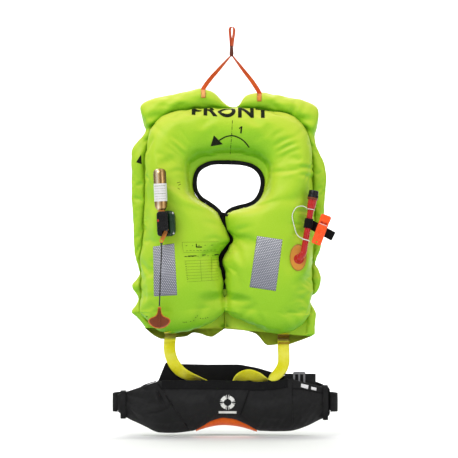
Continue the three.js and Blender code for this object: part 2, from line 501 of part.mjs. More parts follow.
// over the arch the lower hem stands away from the rear panel
const BULGE_ARCH = [0.78, 0.93, 1, 0.94, 0.8, 0.62];
const ARCH = [-92.2, -65.6, 41.0, 67.6];
const ramp = (x, a, b) => { const t = Math.min(1, Math.max(0, (x - a) / (b - a))); return t * t * (3 - 2 * t); };
function station(x) {
  let i = 0;
  while (i < STATIONS.length - 2 && STATIONS[i + 1][0] < x) i++;
  const a = STATIONS[i], b = STATIONS[i + 1], t = (x - a[0]) / (b[0] - a[0]);
  return [x, a[1] + (b[1] - a[1]) * t, a[2] + (b[2] - a[2]) * t, a[3] + (b[3] - a[3]) * t];
}
function shell(x0, x1) {
  const xs = [x0, ...STATIONS.map((s) => s[0]).filter((x) => x > x0 + 2 && x < x1 - 2), x1];
  return loft(xs.map((x) => {
    const [, top, low, gap] = station(x);
    const arch = ramp(x, ARCH[0], ARCH[1]) * (1 - ramp(x, ARCH[2], ARCH[3]));
    const out = BULGE.map(([v, b], i) => V(x, POUCH_Y - 0.4 - SHELL - (gap - SHELL) * (b + (BULGE_ARCH[i] - b) * arch), top + (low - top) * v));
    return [...out, ...out.map((p) => V(p.x, p.y + SHELL, p.z)).reverse()];
  }));
}
const LEFT_SEAM = -149.6, RIGHT_SEAM = 123.0;
add('pouch_left_wing', shell(-233.7, LEFT_SEAM - 0.2), NYLON);
const pouchFront = add('pouch_front_panel', shell(LEFT_SEAM + 0.2, RIGHT_SEAM - 0.2), NYLON);
add('pouch_right_wing', shell(RIGHT_SEAM + 0.2, 196.8), NYLON);
add('pouch_rear_panel', plate(polygon(REAR_PANEL), POUCH_Y, POUCH_Y + REAR_T), BLACK);
// top hem of the front panel
{
  const xs = [LEFT_SEAM + 3, ...STATIONS.map((s) => s[0]).filter((x) => x > LEFT_SEAM + 6 && x < RIGHT_SEAM - 14), RIGHT_SEAM - 10];
  add('pouch_hem', loft(xs.map((x) => {
    const [, top] = station(x);
    const za = top - 1.2, zb = top - 16.5, ya = surface(pouchFront, x, za) - 0.5, yb = surface(pouchFront, x, zb) - 0.5;
    return [V(x, ya - 1.8, za), V(x, yb - 1.8, zb), V(x, yb, zb), V(x, ya, za)];
  })), BLACK);
}
// orange lining band under the arch of the front panel
{
  const xs = LINING_LOW.map((p) => p[0]);
  const low = (x) => { let i = 0; while (i < xs.length - 2 && xs[i + 1] < x) i++; const t = (x - xs[i]) / (xs[i + 1] - xs[i]); return LINING_LOW[i][1] + (LINING_LOW[i + 1][1] - LINING_LOW[i][1]) * t; };
  const all = [...new Set([...xs, ...STATIONS.map((s) => s[0]).filter((x) => x > xs[0] + 3 && x < xs.at(-1) - 3)])].sort((p, q) => p - q);
  add('pouch_lining', loft(all.map((x) => {
    const hi = station(x)[2] - 0.6, lo = Math.min(low(x), hi - 1.2);
    const arch = ramp(x, ARCH[0], ARCH[1]) * (1 - ramp(x, ARCH[2], ARCH[3])), y = POUCH_Y - 10 - 20 * arch;
    return [V(x, y, hi), V(x, y, lo), V(x, POUCH_Y - 0.6, lo), V(x, POUCH_Y - 0.6, hi)];
  })), ORANGE);
}
// piping along the two seams of the front panel
const onPouch = (x, z, off) => [x, surface(pouchFront, x, z) - off, z];
{
  const line = (a, b, n) => Array.from({ length: n + 1 }, (_, i) => onPouch(a[0] + ((b[0] - a[0]) * i) / n, a[1] + ((b[1] - a[1]) * i) / n, 2.7));
  add('pouch_piping_left', cord(line([-140.4, -744.1], [-91.8, -818.8], 9), 1.3, 16, 8), BLACK);
  add('pouch_piping_right', cord(line([33.6, -746.6], [17.2, -793.8], 6), 1.3, 10, 8), BLACK);
}
add('emblem_patch', patch(pouchFront, [[-28.7, -751.5], [10.2, -751.5], [10.2, -792.5], [-28.7, -792.5]], 6, 6, 1.5, 0.8), WHITE);

// ---------------------------------------------------------------- waist belt
const RY = POUCH_Y + REAR_T;
function keeper(x0, x1, y0, y1, z0, z1, wall) {
  return cut(box(x0, x1, y0 - wall, y1, z0 - wall, z1 + wall), box(x0 - 1, x1 + 1, y0, y1 + 1, z0, z1));
}
add('keeper_left', keeper(-228, -217, POUCH_Y - 19, RY - 0.2, -806, -745, 2), BLACK);
add('keeper_right', keeper(186, 196, POUCH_Y - 22, RY - 0.2, -808, -733, 2), BLACK);
const beltLeft = [[-234.4, POUCH_Y - 4], [-240, POUCH_Y - 2.5], [-244, POUCH_Y + 4], [-243.5, POUCH_Y + 14], [-236, RY + 26], [-207, RY + 45], [-150, RY + 60], [-95, RY + 65], [-61.5, BUCKLE_Y]];
const beltRight = [[201.6, POUCH_Y - 4], [210, POUCH_Y - 2.5], [215.5, POUCH_Y + 4], [215.5, POUCH_Y + 14], [206, RY + 28], [170, RY + 48], [120, RY + 60], [80, RY + 64], [50, BUCKLE_Y - 1.6]];
add('belt_left', ribbon(beltLeft.map(([x, y]) => [x, y, BELT_Z, 0, 0, 1]), BELT_W, BELT_T, 26), BLACK);
add('belt_right', ribbon(beltRight.map(([x, y]) => [x, y, BELT_Z, 0, 0, 1]), BELT_W, BELT_T, 26), BLACK);
// side-release buckle: socket on the left webbing, plug on the right
{
  const y = BUCKLE_Y, z = BELT_Z;
  const sock = plate(roundedRect(-61, z - 25, 0, z + 25, 8), y - 7.5, y + 7.5, 3);
  add('buckle_socket', cut(sock,
    box(-44, 1, y - 4.6, y + 4.6, z - 20.5, z + 20.5),
    box(-36, -16, y - 4.6, y + 4.6, z - 26, z + 26),
    box(-57, -51, y - 8, y + 8, z - 20, z + 20)), NYLON);
  const bar = plate(roundedRect(0.6, z - 24, 16, z + 24, 4), y - 5.2, y + 5.2, 3);
  const tongue = box(-30, 2, y - 2, y + 2, z - 5, z + 5);
  const prong = (s) => box(-40, 2, y - 3.6, y + 3.6, z + s * 16.5 - 3.4, z + s * 16.5 + 3.4);
  add('buckle_plug', cut(join(bar, tongue, prong(1), prong(-1)), box(6, 11.5, y - 6, y + 6, z - 19.8, z + 19.8)), NYLON);
  // the webbing that is sewn round the plug's bar, doubled behind the belt
  add('plug_webbing', ribbon([[16.6, y + 1.6, z, 0, 0, 1], [40, y + 1.6, z, 0, 0, 1], [62, y + 1.3, z, 0, 0, 1], [84, y + 0.6, z, 0, 0, 1]], BELT_W, BELT_T, 6), BLACK);
}
// adjuster on the webbing in the right-hand pocket
{
  const x = 137.3, y = POUCH_Y - 12, z = -730.8;
  const frame = plate(roundedRect(x - 12.5, z - 23, x + 12.5, z + 23, 4), y - 3, y + 3, 3);
  add('belt_adjuster', cut(frame, box(x - 13, x + 13, y - 1.6, y + 1.6, z - 19.8, z + 19.8)), GREY);
  add('pocket_webbing', box(x - 30, x + 34, y - 1, y + 1, z - 19, z + 19), BLACK);
}

export default root;
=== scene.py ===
import math

import bmesh
import bpy
import numpy as np
from mathutils import Matrix, Vector
from mathutils.bvhtree import BVHTree


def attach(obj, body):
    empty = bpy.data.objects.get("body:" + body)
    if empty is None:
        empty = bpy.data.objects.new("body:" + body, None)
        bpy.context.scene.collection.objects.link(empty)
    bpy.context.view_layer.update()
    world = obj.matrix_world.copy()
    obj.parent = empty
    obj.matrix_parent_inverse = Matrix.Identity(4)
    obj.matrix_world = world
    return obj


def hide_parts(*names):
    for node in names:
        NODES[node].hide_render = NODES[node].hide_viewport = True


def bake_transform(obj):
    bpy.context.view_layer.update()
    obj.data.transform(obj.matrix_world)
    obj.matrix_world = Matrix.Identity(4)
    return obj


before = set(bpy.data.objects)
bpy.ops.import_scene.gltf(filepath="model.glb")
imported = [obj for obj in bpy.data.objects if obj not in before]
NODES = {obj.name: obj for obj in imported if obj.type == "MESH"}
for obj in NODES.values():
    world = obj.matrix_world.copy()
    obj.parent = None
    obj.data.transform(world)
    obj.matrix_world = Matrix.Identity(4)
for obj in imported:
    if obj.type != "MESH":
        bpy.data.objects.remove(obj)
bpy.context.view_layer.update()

# The jacket is laid out on a grid of 2.05 mm units, u across and v down, with the loop's top at 232, 26.
UNIT = 2.05e-3


def X(u):
    return (u - 232) * UNIT


def Z(v):
    return -(v - 26) * UNIT


def P(u, y, v):
    """A point in metres from the grid's u and v, and a depth in mm."""
    return (X(u), y / 1000, Z(v))


# ---------------------------------------------------------------- camera, stage and lights
scene = bpy.context.scene
camera = bpy.data.objects.new("camera", bpy.data.cameras.new("camera"))
scene.collection.objects.link(camera)
scene.camera = camera
camera.data.sensor_width = 36
camera.data.lens = 36 * 4.6 / (458 * UNIT)
camera.data.clip_start, camera.data.clip_end = 0.05, 30
camera.location = (X(229), -4.62, Z(229))
camera.rotation_euler = (math.radians(90), 0, 0)


def link(name, mesh):
    o = bpy.data.objects.new(name, mesh)
    scene.collection.objects.link(o)
    return o


def make(name, verts, faces, smooth=True):
    me = bpy.data.meshes.new(name)
    me.from_pydata([tuple(map(float, v)) for v in verts], [], [tuple(f) for f in faces])
    me.validate()
    me.update()
    if smooth:
        me.polygons.foreach_set("use_smooth", [True] * len(me.polygons))
    return link(name, me)


def light(name, at, target, size, power, colour=(1, 1, 1)):
    d = bpy.data.lights.new(name, "AREA")
    d.shape, d.size, d.size_y, d.energy, d.color = "RECTANGLE", size[0], size[1], power, colour
    o = bpy.data.objects.new(name, d)
    scene.collection.objects.link(o)
    o.location = at
    o.rotation_euler = (Vector(target) - Vector(at)).to_track_quat("-Z", "Y").to_euler()
    return o


# ---------------------------------------------------------------- node helpers
class Mat:
    """A small wrapper that keeps node code short."""

    def __init__(self, name):
        self.m = bpy.data.materials.new(name)
        self.m.use_nodes = True
        self.t = self.m.node_tree
        self.t.nodes.clear()
        self.out = self.n("ShaderNodeOutputMaterial")
        self.b = self.n("ShaderNodeBsdfPrincipled")
        self.t.links.new(self.b.outputs[0], self.out.inputs[0])
        self.co = self.n("ShaderNodeTexCoord").outputs["Object"]

    def n(self, kind, **k):
        o = self.t.nodes.new(kind)
        for a, v in k.items():
            setattr(o, a, v)
        return o

    def put(self, sock, v):
        if isinstance(v, bpy.types.NodeSocket):
            self.t.links.new(v, sock)
        elif v is not None:
            sock.default_value = v

    def set(self, **k):
        names = {"color": "Base Color", "rough": "Roughness", "metal": "Metallic", "coat": "Coat Weight", "coat_rough": "Coat Roughness",
                 "sheen": "Sheen Weight", "sheen_rough": "Sheen Roughness", "spec": "Specular IOR Level", "sss": "Subsurface Weight", "trans": "Transmission Weight",
                 "ior": "IOR", "alpha": "Alpha", "emit": "Emission Color", "emit_k": "Emission Strength", "aniso": "Anisotropic"}
        for a, v in k.items():
            if isinstance(v, tuple) and len(v) == 3:
                v = (*v, 1)
            self.put(self.b.inputs[names[a]], v)
        return self

    def math(self, op, a, b=None, c=None, clamp=False):
        o = self.n("ShaderNodeMath", operation=op, use_clamp=clamp)
        for s, v in zip(o.inputs, (a, b, c)):
            self.put(s, v)
        return o.outputs[0]

    def noise(self, scale, detail=3, rough=0.55, co=None, dist=0.0):
        o = self.n("ShaderNodeTexNoise")
        self.put(o.inputs["Vector"], co or self.co)
        self.put(o.inputs["Scale"], scale)
        self.put(o.inputs["Detail"], detail)
        self.put(o.inputs["Roughness"], rough)
        self.put(o.inputs["Distortion"], dist)
        return o.outputs["Fac"]

    def voronoi(self, scale, feature="F1", co=None, out="Distance", rand=1.0):
        o = self.n("ShaderNodeTexVoronoi", feature=feature)
        self.put(o.inputs["Vector"], co or self.co)
        self.put(o.inputs["Scale"], scale)
        self.put(o.inputs["Randomness"], rand)
        return o.outputs[out]

    def wave(self, axis, scale, co=None, dist=0.0, profile="SIN", phase=0.0):
        o = self.n("ShaderNodeTexWave", wave_type="BANDS", bands_direction=axis, wave_profile=profile)
        self.put(o.inputs["Vector"], co or self.co)
        self.put(o.inputs["Scale"], scale)
        self.put(o.inputs["Distortion"], dist)
        self.put(o.inputs["Phase Offset"], phase)
        return o.outputs["Fac"]

    def mapping(self, scale=(1, 1, 1), rot=(0, 0, 0), co=None):
        o = self.n("ShaderNodeMapping")
        self.put(o.inputs["Vector"], co or self.co)
        o.inputs["Scale"].default_value = scale
        o.inputs["Rotation"].default_value = rot
        return o.outputs[0]

    def ramp(self, fac, *stops):
        o = self.n("ShaderNodeValToRGB")
        self.put(o.inputs[0], fac)
        e = o.color_ramp.elements
        for i, (p, c) in enumerate(stops):
            el = e[i] if i < 2 else e.new(p)
            el.position = p
            el.color = (*c, 1) if len(c) == 3 else c
        return o.outputs[0]

    def mix(self, fac, a, b, mode="MIX"):
        o = self.n("ShaderNodeMix", data_type="RGBA", blend_type=mode)
        self.put(o.inputs[0], fac)
        self.put(o.inputs[6], (*a, 1) if isinstance(a, tuple) and len(a) == 3 else a)
        self.put(o.inputs[7], (*b, 1) if isinstance(b, tuple) and len(b) == 3 else b)
        return o.outputs[2]

    def range(self, v, a, b, c, d):
        o = self.n("ShaderNodeMapRange")
        for i, q in enumerate((v, a, b, c, d)):
            self.put(o.inputs[i], q)
        return o.outputs[0]

    def bump(self, height, dist, strength=1.0, normal=None):
        o = self.n("ShaderNodeBump")
        self.put(o.inputs["Height"], height)
        self.put(o.inputs["Distance"], dist)
        self.put(o.inputs["Strength"], strength)
        if normal is not None:
            self.put(o.inputs["Normal"], normal)
        self.t.links.new(o.outputs[0], self.b.inputs["Normal"])
        return o.outputs[0]

    def uv(self):
        return self.n("ShaderNodeUVMap").outputs[0]

    def sep(self, co=None):
        o = self.n("ShaderNodeSeparateXYZ")
        self.put(o.inputs[0], co or self.co)
        return o.outputs


def weave_height(M, pitch, co, axes=(0, 1)):
    """A plain weave of yarns at that pitch, in metres."""
    k = math.pi / pitch
    s = M.sep(co)
    a = M.math("SINE", M.math("MULTIPLY", s[axes[0]], k))
    b = M.math("SINE", M.math("MULTIPLY", s[axes[1]], k))
    a2, b2 = M.math("ABSOLUTE", a), M.math("ABSOLUTE", b)
    return M.math("MAXIMUM", M.math("MULTIPLY", a2, M.math("ADD", 0.6, M.math("MULTIPLY", b, 0.4))), M.math("MULTIPLY", b2, M.math("SUBTRACT", 0.6, M.math("MULTIPLY", a, 0.4))))


def lime():
    """Coated nylon: fine weave under a thin film, with painted light and shade: yellower and lighter where it faces up,
    greener and darker where it faces down.
    """
    M = Mat("lime_coated_nylon")
    g = M.n("ShaderNodeNewGeometry")
    nz = M.sep(g.outputs["Normal"])[2]
    # painted light and shade: the colour follows how far each face turns up towards the lamps
    up = M.range(nz, -0.75, 0.8, 0.0, 1.0)
    col = M.ramp(up, (0.0, (0.13, 0.43, 0.005)), (0.35, (0.27, 0.55, 0.014)), (0.62, (0.44, 0.63, 0.030)), (1.0, (0.62, 0.68, 0.07)))
    cloud = M.noise(7.0, 4, 0.5)
    col = M.mix(M.range(cloud, 0.35, 0.7, 0.0, 0.30), col, (0.27, 0.53, 0.010))
    fine = M.noise(420, 2, 0.6)
    col = M.mix(M.range(fine, 0.3, 0.8, 0.0, 0.12), col, (0.60, 0.78, 0.12))
    M.set(color=col, rough=M.range(M.noise(38, 4, 0.6), 0.3, 0.75, 0.36, 0.5), spec=0.2, sheen=0.0, sheen_rough=0.4, coat=0.0, coat_rough=0.3)
    w = weave_height(M, 0.00085, M.co, (0, 2))
    crinkle = M.noise(95, 4, 0.55, dist=0.6)
    h = M.math("ADD", M.math("MULTIPLY", w, 0.05), M.math("MULTIPLY", crinkle, 0.9))
    M.bump(h, 0.0006, 0.55)
    return M.m


def black_fabric(name="pouch_nylon", base=(0.010, 0.010, 0.0105), pitch=0.0009, sheen=0.06, rough=0.5):
    M = Mat(name)
    cloud = M.noise(16, 4, 0.6)
    col = M.mix(M.range(cloud, 0.35, 0.7, 0.0, 0.7), base, tuple(min(1, c * 1.9 + 0.004) for c in base))
    w = weave_height(M, pitch, M.co, (0, 2))
    # painted shade: the colour darkens in the hollows of the weave
    col = M.mix(M.math("MULTIPLY", M.math("SUBTRACT", 1.0, w), 0.35), col, tuple(c * 0.3 for c in base))
    lint = M.range(M.voronoi(260, "F1"), 0.0, 0.12, 1.0, 0.0)
    col = M.mix(M.math("MULTIPLY", M.math("MULTIPLY", lint, M.range(M.noise(11, 2), 0.5, 0.7, 0, 1)), 0.25), col, (0.2, 0.2, 0.2))
    M.set(color=col, rough=M.range(cloud, 0.3, 0.8, rough - 0.08, rough + 0.12), spec=0.12, sheen=sheen, sheen_rough=0.45)
    crease = M.noise(60, 5, 0.6, dist=0.8)
    M.bump(M.math("ADD", M.math("MULTIPLY", w, 0.28), M.math("MULTIPLY", crease, 0.7)), 0.0009, 0.6)
    return M.m


def webbing(name, base, light_c, rough=0.7, sheen=0.3, pitch=0.0022, wear=0.25):
    """Woven webbing, read from its uv: u in metres along it, v in metres across it."""
    M = Mat(name)
    uv = M.uv()
    s = M.sep(uv)
    k = math.pi / pitch
    rib = M.math("ABSOLUTE", M.math("SINE", M.math("ADD", M.math("MULTIPLY", s[1], k), M.math("MULTIPLY", M.math("SINE", M.math("MULTIPLY", s[0], k)), 0.5))))
    pick = M.math("ABSOLUTE", M.math("SINE", M.math("MULTIPLY", s[0], k * 1.0)))
    h = M.math("ADD", M.math("MULTIPLY", rib, 0.65), M.math("MULTIPLY", pick, 0.35))
    # painted shade: darker between the ribs and picks, where the weave's height is low
    col = M.mix(M.range(h, 0.15, 0.95, 0.0, 1.0), tuple(c * 0.55 for c in base), base)
    cl = M.noise(24, 4, 0.6)
    col = M.mix(M.range(cl, 0.4, 0.75, 0.0, wear), col, light_c)
    M.set(color=col, rough=rough, spec=0.12, sheen=sheen, sheen_rough=0.4)
    M.bump(h, 0.00035, 0.8)
    return M.m


def plastic(name, base, rough=0.4, wear=(0.3, 0.3, 0.3), grain=900, coat=0.0, sss=0.0, streak=0.0):
    M = Mat(name)
    cl = M.noise(45, 4, 0.6)
    col = M.mix(M.range(cl, 0.35, 0.7, 0.0, 0.35), base, tuple(min(1, c * 1.35 + 0.003) for c in base))
    edge = M.range(M.n("ShaderNodeNewGeometry").outputs["Pointiness"], 0.51, 0.58, 0.0, 0.5)
    scuff = M.range(M.noise(260, 5, 0.7), 0.5, 0.72, 0.0, 1.0)
    col = M.mix(M.math("MULTIPLY", edge, scuff), col, wear)
    M.set(color=col, rough=M.range(M.noise(110, 4, 0.6), 0.3, 0.75, rough - 0.07, rough + 0.1), spec=0.26, coat=coat, coat_rough=0.12, sss=sss)
    M.bump(M.math("ADD", M.noise(grain, 2, 0.5), M.math("MULTIPLY", M.noise(70, 3, 0.5), 0.6)), 0.00012, 0.5)
    return M.m


def metal(name, base, rough=0.22, streak=(1, 1, 0.03), tint=(0.3, 0.16, 0.06), amount=0.3):
    M = Mat(name)
    line = M.noise(420, 3, 0.6, co=M.mapping(streak))
    st = M.noise(30, 5, 0.65)
    col = M.mix(M.range(st, 0.48, 0.75, 0.0, amount), base, tint)
    col = M.mix(M.range(line, 0.4, 0.7, 0.0, 0.15), col, tuple(c * 0.6 for c in base))
    M.set(color=col, metal=1.0, rough=M.range(st, 0.3, 0.75, rough - 0.05, rough + 0.13), spec=0.5)
    M.bump(line, 0.00005, 0.4)
    return M.m


def silver_tape():
    """Reflective tape: small cells under a film, in the tape's own uv in metres."""
    M = Mat("reflective_film")
    uv = M.uv()
    s = M.sep(uv)
    # honeycomb from a triangular arrangement of voronoi points without randomness
    cell = M.mapping((1.0, 1.1547, 1.0), co=uv)
    sh = M.sep(cell)
    row = M.math("FLOOR", M.math("MULTIPLY", sh[1], 262))
    x = M.math("ADD", M.math("MULTIPLY", sh[0], 262), M.math("MULTIPLY", M.math("MODULO", row, 2.0), 0.5))
    fx = M.math("SUBTRACT", M.math("FRACT", M.math("ADD", x, 100.0)), 0.5)
    fy = M.math("SUBTRACT", M.math("FRACT", M.math("MULTIPLY", sh[1], 262)), 0.5)
    r = M.math("SQRT", M.math("ADD", M.math("MULTIPLY", fx, fx), M.math("MULTIPLY", fy, fy)))
    dot = M.range(r, 0.24, 0.46, 0.0, 1.0)
    tone = M.noise(22, 3, 0.5)
    base = M.ramp(tone, (0.3, (0.62, 0.63, 0.68)), (0.55, (0.80, 0.81, 0.86)), (0.8, (0.95, 0.96, 1.0)))
    # painted shade: the film turns darker grey towards the tape's bottom edge
    painted_shade_down = M.range(s[1], 0.0, 0.105, 0.0, 1.0)
    base = M.mix(painted_shade_down, base, (0.36, 0.37, 0.43))
    col = M.mix(dot, base, (0.10, 0.105, 0.14))
    M.set(color=col, metal=0.35, rough=M.mix(dot, (0.34,) * 3, (0.55,) * 3), spec=0.6, coat=0.25, coat_rough=0.2)
    M.bump(M.math("SUBTRACT", 1.0, dot), 0.00022, 0.7)
    return M.m


def ink(name="printed_ink", base=(0.008, 0.009, 0.008), rough=0.5):
    M = Mat(name)
    n = M.noise(900, 3, 0.6)
    M.set(color=M.mix(M.range(n, 0.45, 0.75, 0.0, 0.35), base, (0.10, 0.14, 0.03)), rough=M.range(n, 0.3, 0.8, rough - 0.1, rough + 0.1), spec=0.03)
    M.bump(n, 0.00004, 0.3)
    return M.m


LIME = lime()
POUCH = black_fabric()
POUCH_BACK = black_fabric("spacer_mesh", (0.004, 0.004, 0.0045), 0.0024, 0.02, 0.8)
LINING = black_fabric("orange_lining_fabric", (0.86, 0.105, 0.008), 0.0010, 0.25, 0.6)
BINDING = webbing("binding_tape", (0.005, 0.005, 0.0055), (0.02, 0.02, 0.02), 0.75, 0.03, 0.0012)
WEB_BLACK = webbing("black_webbing", (0.009, 0.009, 0.0095), (0.035, 0.035, 0.036), 0.7, 0.05, 0.0022, 0.35)
WEB_YELLOW = webbing("yellow_webbing", (0.88, 0.82, 0.012), (0.95, 0.92, 0.22), 0.62, 0.3, 0.0016, 0.5)
# painted shade: a darker brown webbing laid over the right strap's sewn end
WEB_PAINTED_SHADE = webbing("stitched_webbing", (0.36, 0.24, 0.012), (0.50, 0.36, 0.02), 0.66, 0.2, 0.0016, 0.5)
TAPE_ORANGE = webbing("orange_tape_weave", (0.72, 0.085, 0.012), (0.85, 0.20, 0.05), 0.6, 0.3, 0.0011, 0.4)
TAPE_TAB = webbing("orange_tab_weave", (0.90, 0.30, 0.05), (0.98, 0.60, 0.25), 0.6, 0.3, 0.0011, 0.6)
SLEEVE = black_fabric("brown_sleeve", (0.10, 0.028, 0.018), 0.0008, 0.2, 0.6)
BLACK_PLASTIC = plastic("black_nylon_plastic", (0.004, 0.004, 0.0045), 0.3, (0.05, 0.05, 0.05))
GREEN_PLASTIC = plastic("dark_green_plastic", (0.003, 0.026, 0.007), 0.26, (0.03, 0.10, 0.04), coat=0.35)
BROWN_PLASTIC = plastic("brown_plastic", (0.17, 0.035, 0.010), 0.42, (0.45, 0.14, 0.03))
ORANGE_RIM = plastic("orange_brown_rim", (0.50, 0.13, 0.015), 0.42, (0.7, 0.3, 0.06))
ORANGE_TAN = plastic("orange_tan_plastic", (0.60, 0.20, 0.025), 0.38, (0.8, 0.4, 0.1), coat=0.2)
ORANGE_PLASTIC = plastic("orange_moulded_plastic", (0.92, 0.085, 0.006), 0.3, (1.0, 0.35, 0.12), coat=0.35, sss=0.0)
RED_PLASTIC = plastic("red_moulded_plastic", (0.42, 0.008, 0.007), 0.26, (0.85, 0.2, 0.12), coat=0.3)
AMBER = plastic("amber_film", (0.56, 0.23, 0.022), 0.3, (0.9, 0.6, 0.2), coat=0.5)
AMBER_RIM = plastic("amber_rim", (0.33, 0.12, 0.012), 0.35, (0.6, 0.3, 0.05), coat=0.3)
GREY_PLASTIC = plastic("grey_plastic", (0.17, 0.17, 0.18), 0.38, (0.5, 0.5, 0.5))
WHITE_CORD = webbing("white_cord_braid", (0.80, 0.80, 0.74), (0.95, 0.95, 0.9), 0.6, 0.3, 0.0007)
BLACK_CORD = webbing("black_cord_braid", (0.010, 0.010, 0.011), (0.05, 0.05, 0.05), 0.6, 0.3, 0.0009)
WHITE_PLASTIC = plastic("white_plastic", (0.78, 0.78, 0.76), 0.4, (0.6, 0.6, 0.6))
RUBBER = plastic("black_rubber", (0.010, 0.009, 0.009), 0.55, (0.09, 0.07, 0.06), 600)


def bottle_metal():
    """Plated steel with painted reflections: a painted highlight and painted dark sides in long bands down its length,
    fixed in its own place.
    """
    M = Mat("brass_gas_cylinder")
    p = M.sep(M.co)
    # distance from the cylinder's axis, from -1 on one side to 1 on the other
    axis = M.math("ADD", M.math("MULTIPLY", M.math("ADD", p[2], 0.4053), -0.0439), -0.14185)
    n = M.math("MULTIPLY", M.math("SUBTRACT", p[0], axis), 1 / 0.013)
    line = M.noise(420, 3, 0.6, co=M.mapping((1, 1, 0.03)))
    soft = M.math("ADD", n, M.math("MULTIPLY", M.math("SUBTRACT", line, 0.5), 0.22))
    f = M.range(soft, -1.0, 1.0, 0.0, 1.0)
    # painted reflection: dark at both sides and just right of centre, a bright highlight left of centre and a gold band
    # right of centre
    col = M.ramp(f, (0.0, (0.10, 0.045, 0.012)), (0.14, (0.34, 0.20, 0.08)), (0.30, (0.95, 0.82, 0.62)), (0.42, (0.70, 0.46, 0.20)), (0.55, (0.22, 0.10, 0.03)), (0.68, (0.66, 0.42, 0.17)), (0.82, (0.36, 0.19, 0.06)), (1.0, (0.09, 0.04, 0.012)))
    st = M.noise(30, 5, 0.65)
    col = M.mix(M.range(st, 0.5, 0.75, 0.0, 0.3), col, (0.25, 0.13, 0.05))
    M.set(color=col, metal=0.75, rough=M.range(st, 0.3, 0.75, 0.2, 0.36), spec=0.5)
    M.bump(line, 0.00005, 0.4)
    return M.m


BRASS = bottle_metal()
STEEL = metal("spring_steel", (0.62, 0.62, 0.62), 0.25, amount=0.15, tint=(0.35, 0.35, 0.35))
SILVER = silver_tape()
INK = ink()
FAINT = ink("faint_print", (0.10, 0.19, 0.02))
WHITE_INK = ink("white_print", (0.80, 0.80, 0.78))


def paper():
    M = Mat("paper_label")
    n = M.noise(120, 5, 0.6)
    M.set(color=M.mix(M.range(n, 0.4, 0.75, 0, 0.5), (0.74, 0.73, 0.74), (0.55, 0.53, 0.58)), rough=0.45, spec=0.4, coat=0.15, coat_rough=0.3)
    M.bump(n, 0.0001, 0.5)
    return M.m


PAPER = paper()


# ---------------------------------------------------------------- mesh helpers
def catmull(points, n):
    p = np.asarray(points, float)
    p = np.vstack([2 * p[0] - p[1], p, 2 * p[-1] - p[-2]])
    t = np.linspace(0, len(p) - 3, n)
    i = np.minimum(t.astype(int), len(p) - 4)
    f = (t - i)[:, None]
    a, b, c, d = p[i], p[i + 1], p[i + 2], p[i + 3]
    return 0.5 * (2 * b + (c - a) * f + (2 * a - 5 * b + 4 * c - d) * f**2 + (3 * b - a - 3 * c + d) * f**3)


def resample(points, n):
    p = np.asarray(points, float)
    s = np.concatenate([[0], np.cumsum(np.linalg.norm(np.diff(p, axis=0), axis=1))])
    q = np.linspace(0, s[-1], n)
    return np.stack([np.interp(q, s, p[:, k]) for k in range(p.shape[1])], axis=1)


def smooth01(t):
    t = np.clip(t, 0, 1)
    return t * t * (3 - 2 * t)


def set_uv(o, per_vertex):
    me = o.data
    layer = me.uv_layers.new(name="UVMap")
    idx = np.zeros(len(me.loops), int)
    me.loops.foreach_get("vertex_index", idx)
    layer.data.foreach_set("uv", np.asarray(per_vertex, float)[idx].astype(np.float32).ravel())


def smooth_by_angle(o, deg=40):
    """Sharp edges stay sharp, the rest is shaded smooth."""
    me = o.data
    bm = bmesh.new()
    bm.from_mesh(me)
    for f in bm.faces:
        f.smooth = True
    for e in bm.edges:
        e.smooth = not (len(e.link_faces) == 2 and e.calc_face_angle(0) > math.radians(deg))
    bm.to_mesh(me)
    bm.free()


def bevel(o, width, segments=2, deg=35):
    bm = bmesh.new()
    bm.from_mesh(o.data)
    edges = [e for e in bm.edges if len(e.link_faces) == 2 and e.calc_face_angle(0) > math.radians(deg)]
    bmesh.ops.bevel(bm, geom=edges, offset=width, segments=segments, affect="EDGES", profile=0.6, clamp_overlap=True)
    bm.to_mesh(o.data)
    bm.free()
    return o


def subdivide(o, levels=1):
    m = o.modifiers.new("sub", "SUBSURF")
    m.levels = m.render_levels = levels
    apply_modifiers(o)
    return o


def apply_modifiers(o):
    dg = bpy.context.evaluated_depsgraph_get()
    me = bpy.data.meshes.new_from_object(o.evaluated_get(dg))
    old = o.data
    o.modifiers.clear()
    o.data = me
    bpy.data.meshes.remove(old)


def grid(name, rows, close_u=False, close_v=False, caps=False, uv=None):
    """rows: n by m by 3 points. close_v joins the last column to the first."""
    a = np.asarray(rows, float)
    n, m = a.shape[:2]
    faces = []
    for i in range(n if close_u else n - 1):
        for j in range(m if close_v else m - 1):
            faces.append((i * m + j, i * m + (j + 1) % m, ((i + 1) % n) * m + (j + 1) % m, ((i + 1) % n) * m + j))
    if caps:
        faces.append(tuple(reversed(range(m))))
        faces.append(tuple((n - 1) * m + j for j in range(m)))
    o = make(name, a.reshape(-1, 3), faces)
    if uv is not None:
        set_uv(o, np.asarray(uv).reshape(-1, 2))
    return o


def frames_along(path, wide):
    path = np.asarray(path, float)
    t = np.gradient(path, axis=0)
    t /= np.linalg.norm(t, axis=1)[:, None]
    w = np.asarray(wide, float)
    w = w - (w * t).sum(1)[:, None] * t
    w /= np.linalg.norm(w, axis=1)[:, None]
    return t, w, np.cross(t, w)


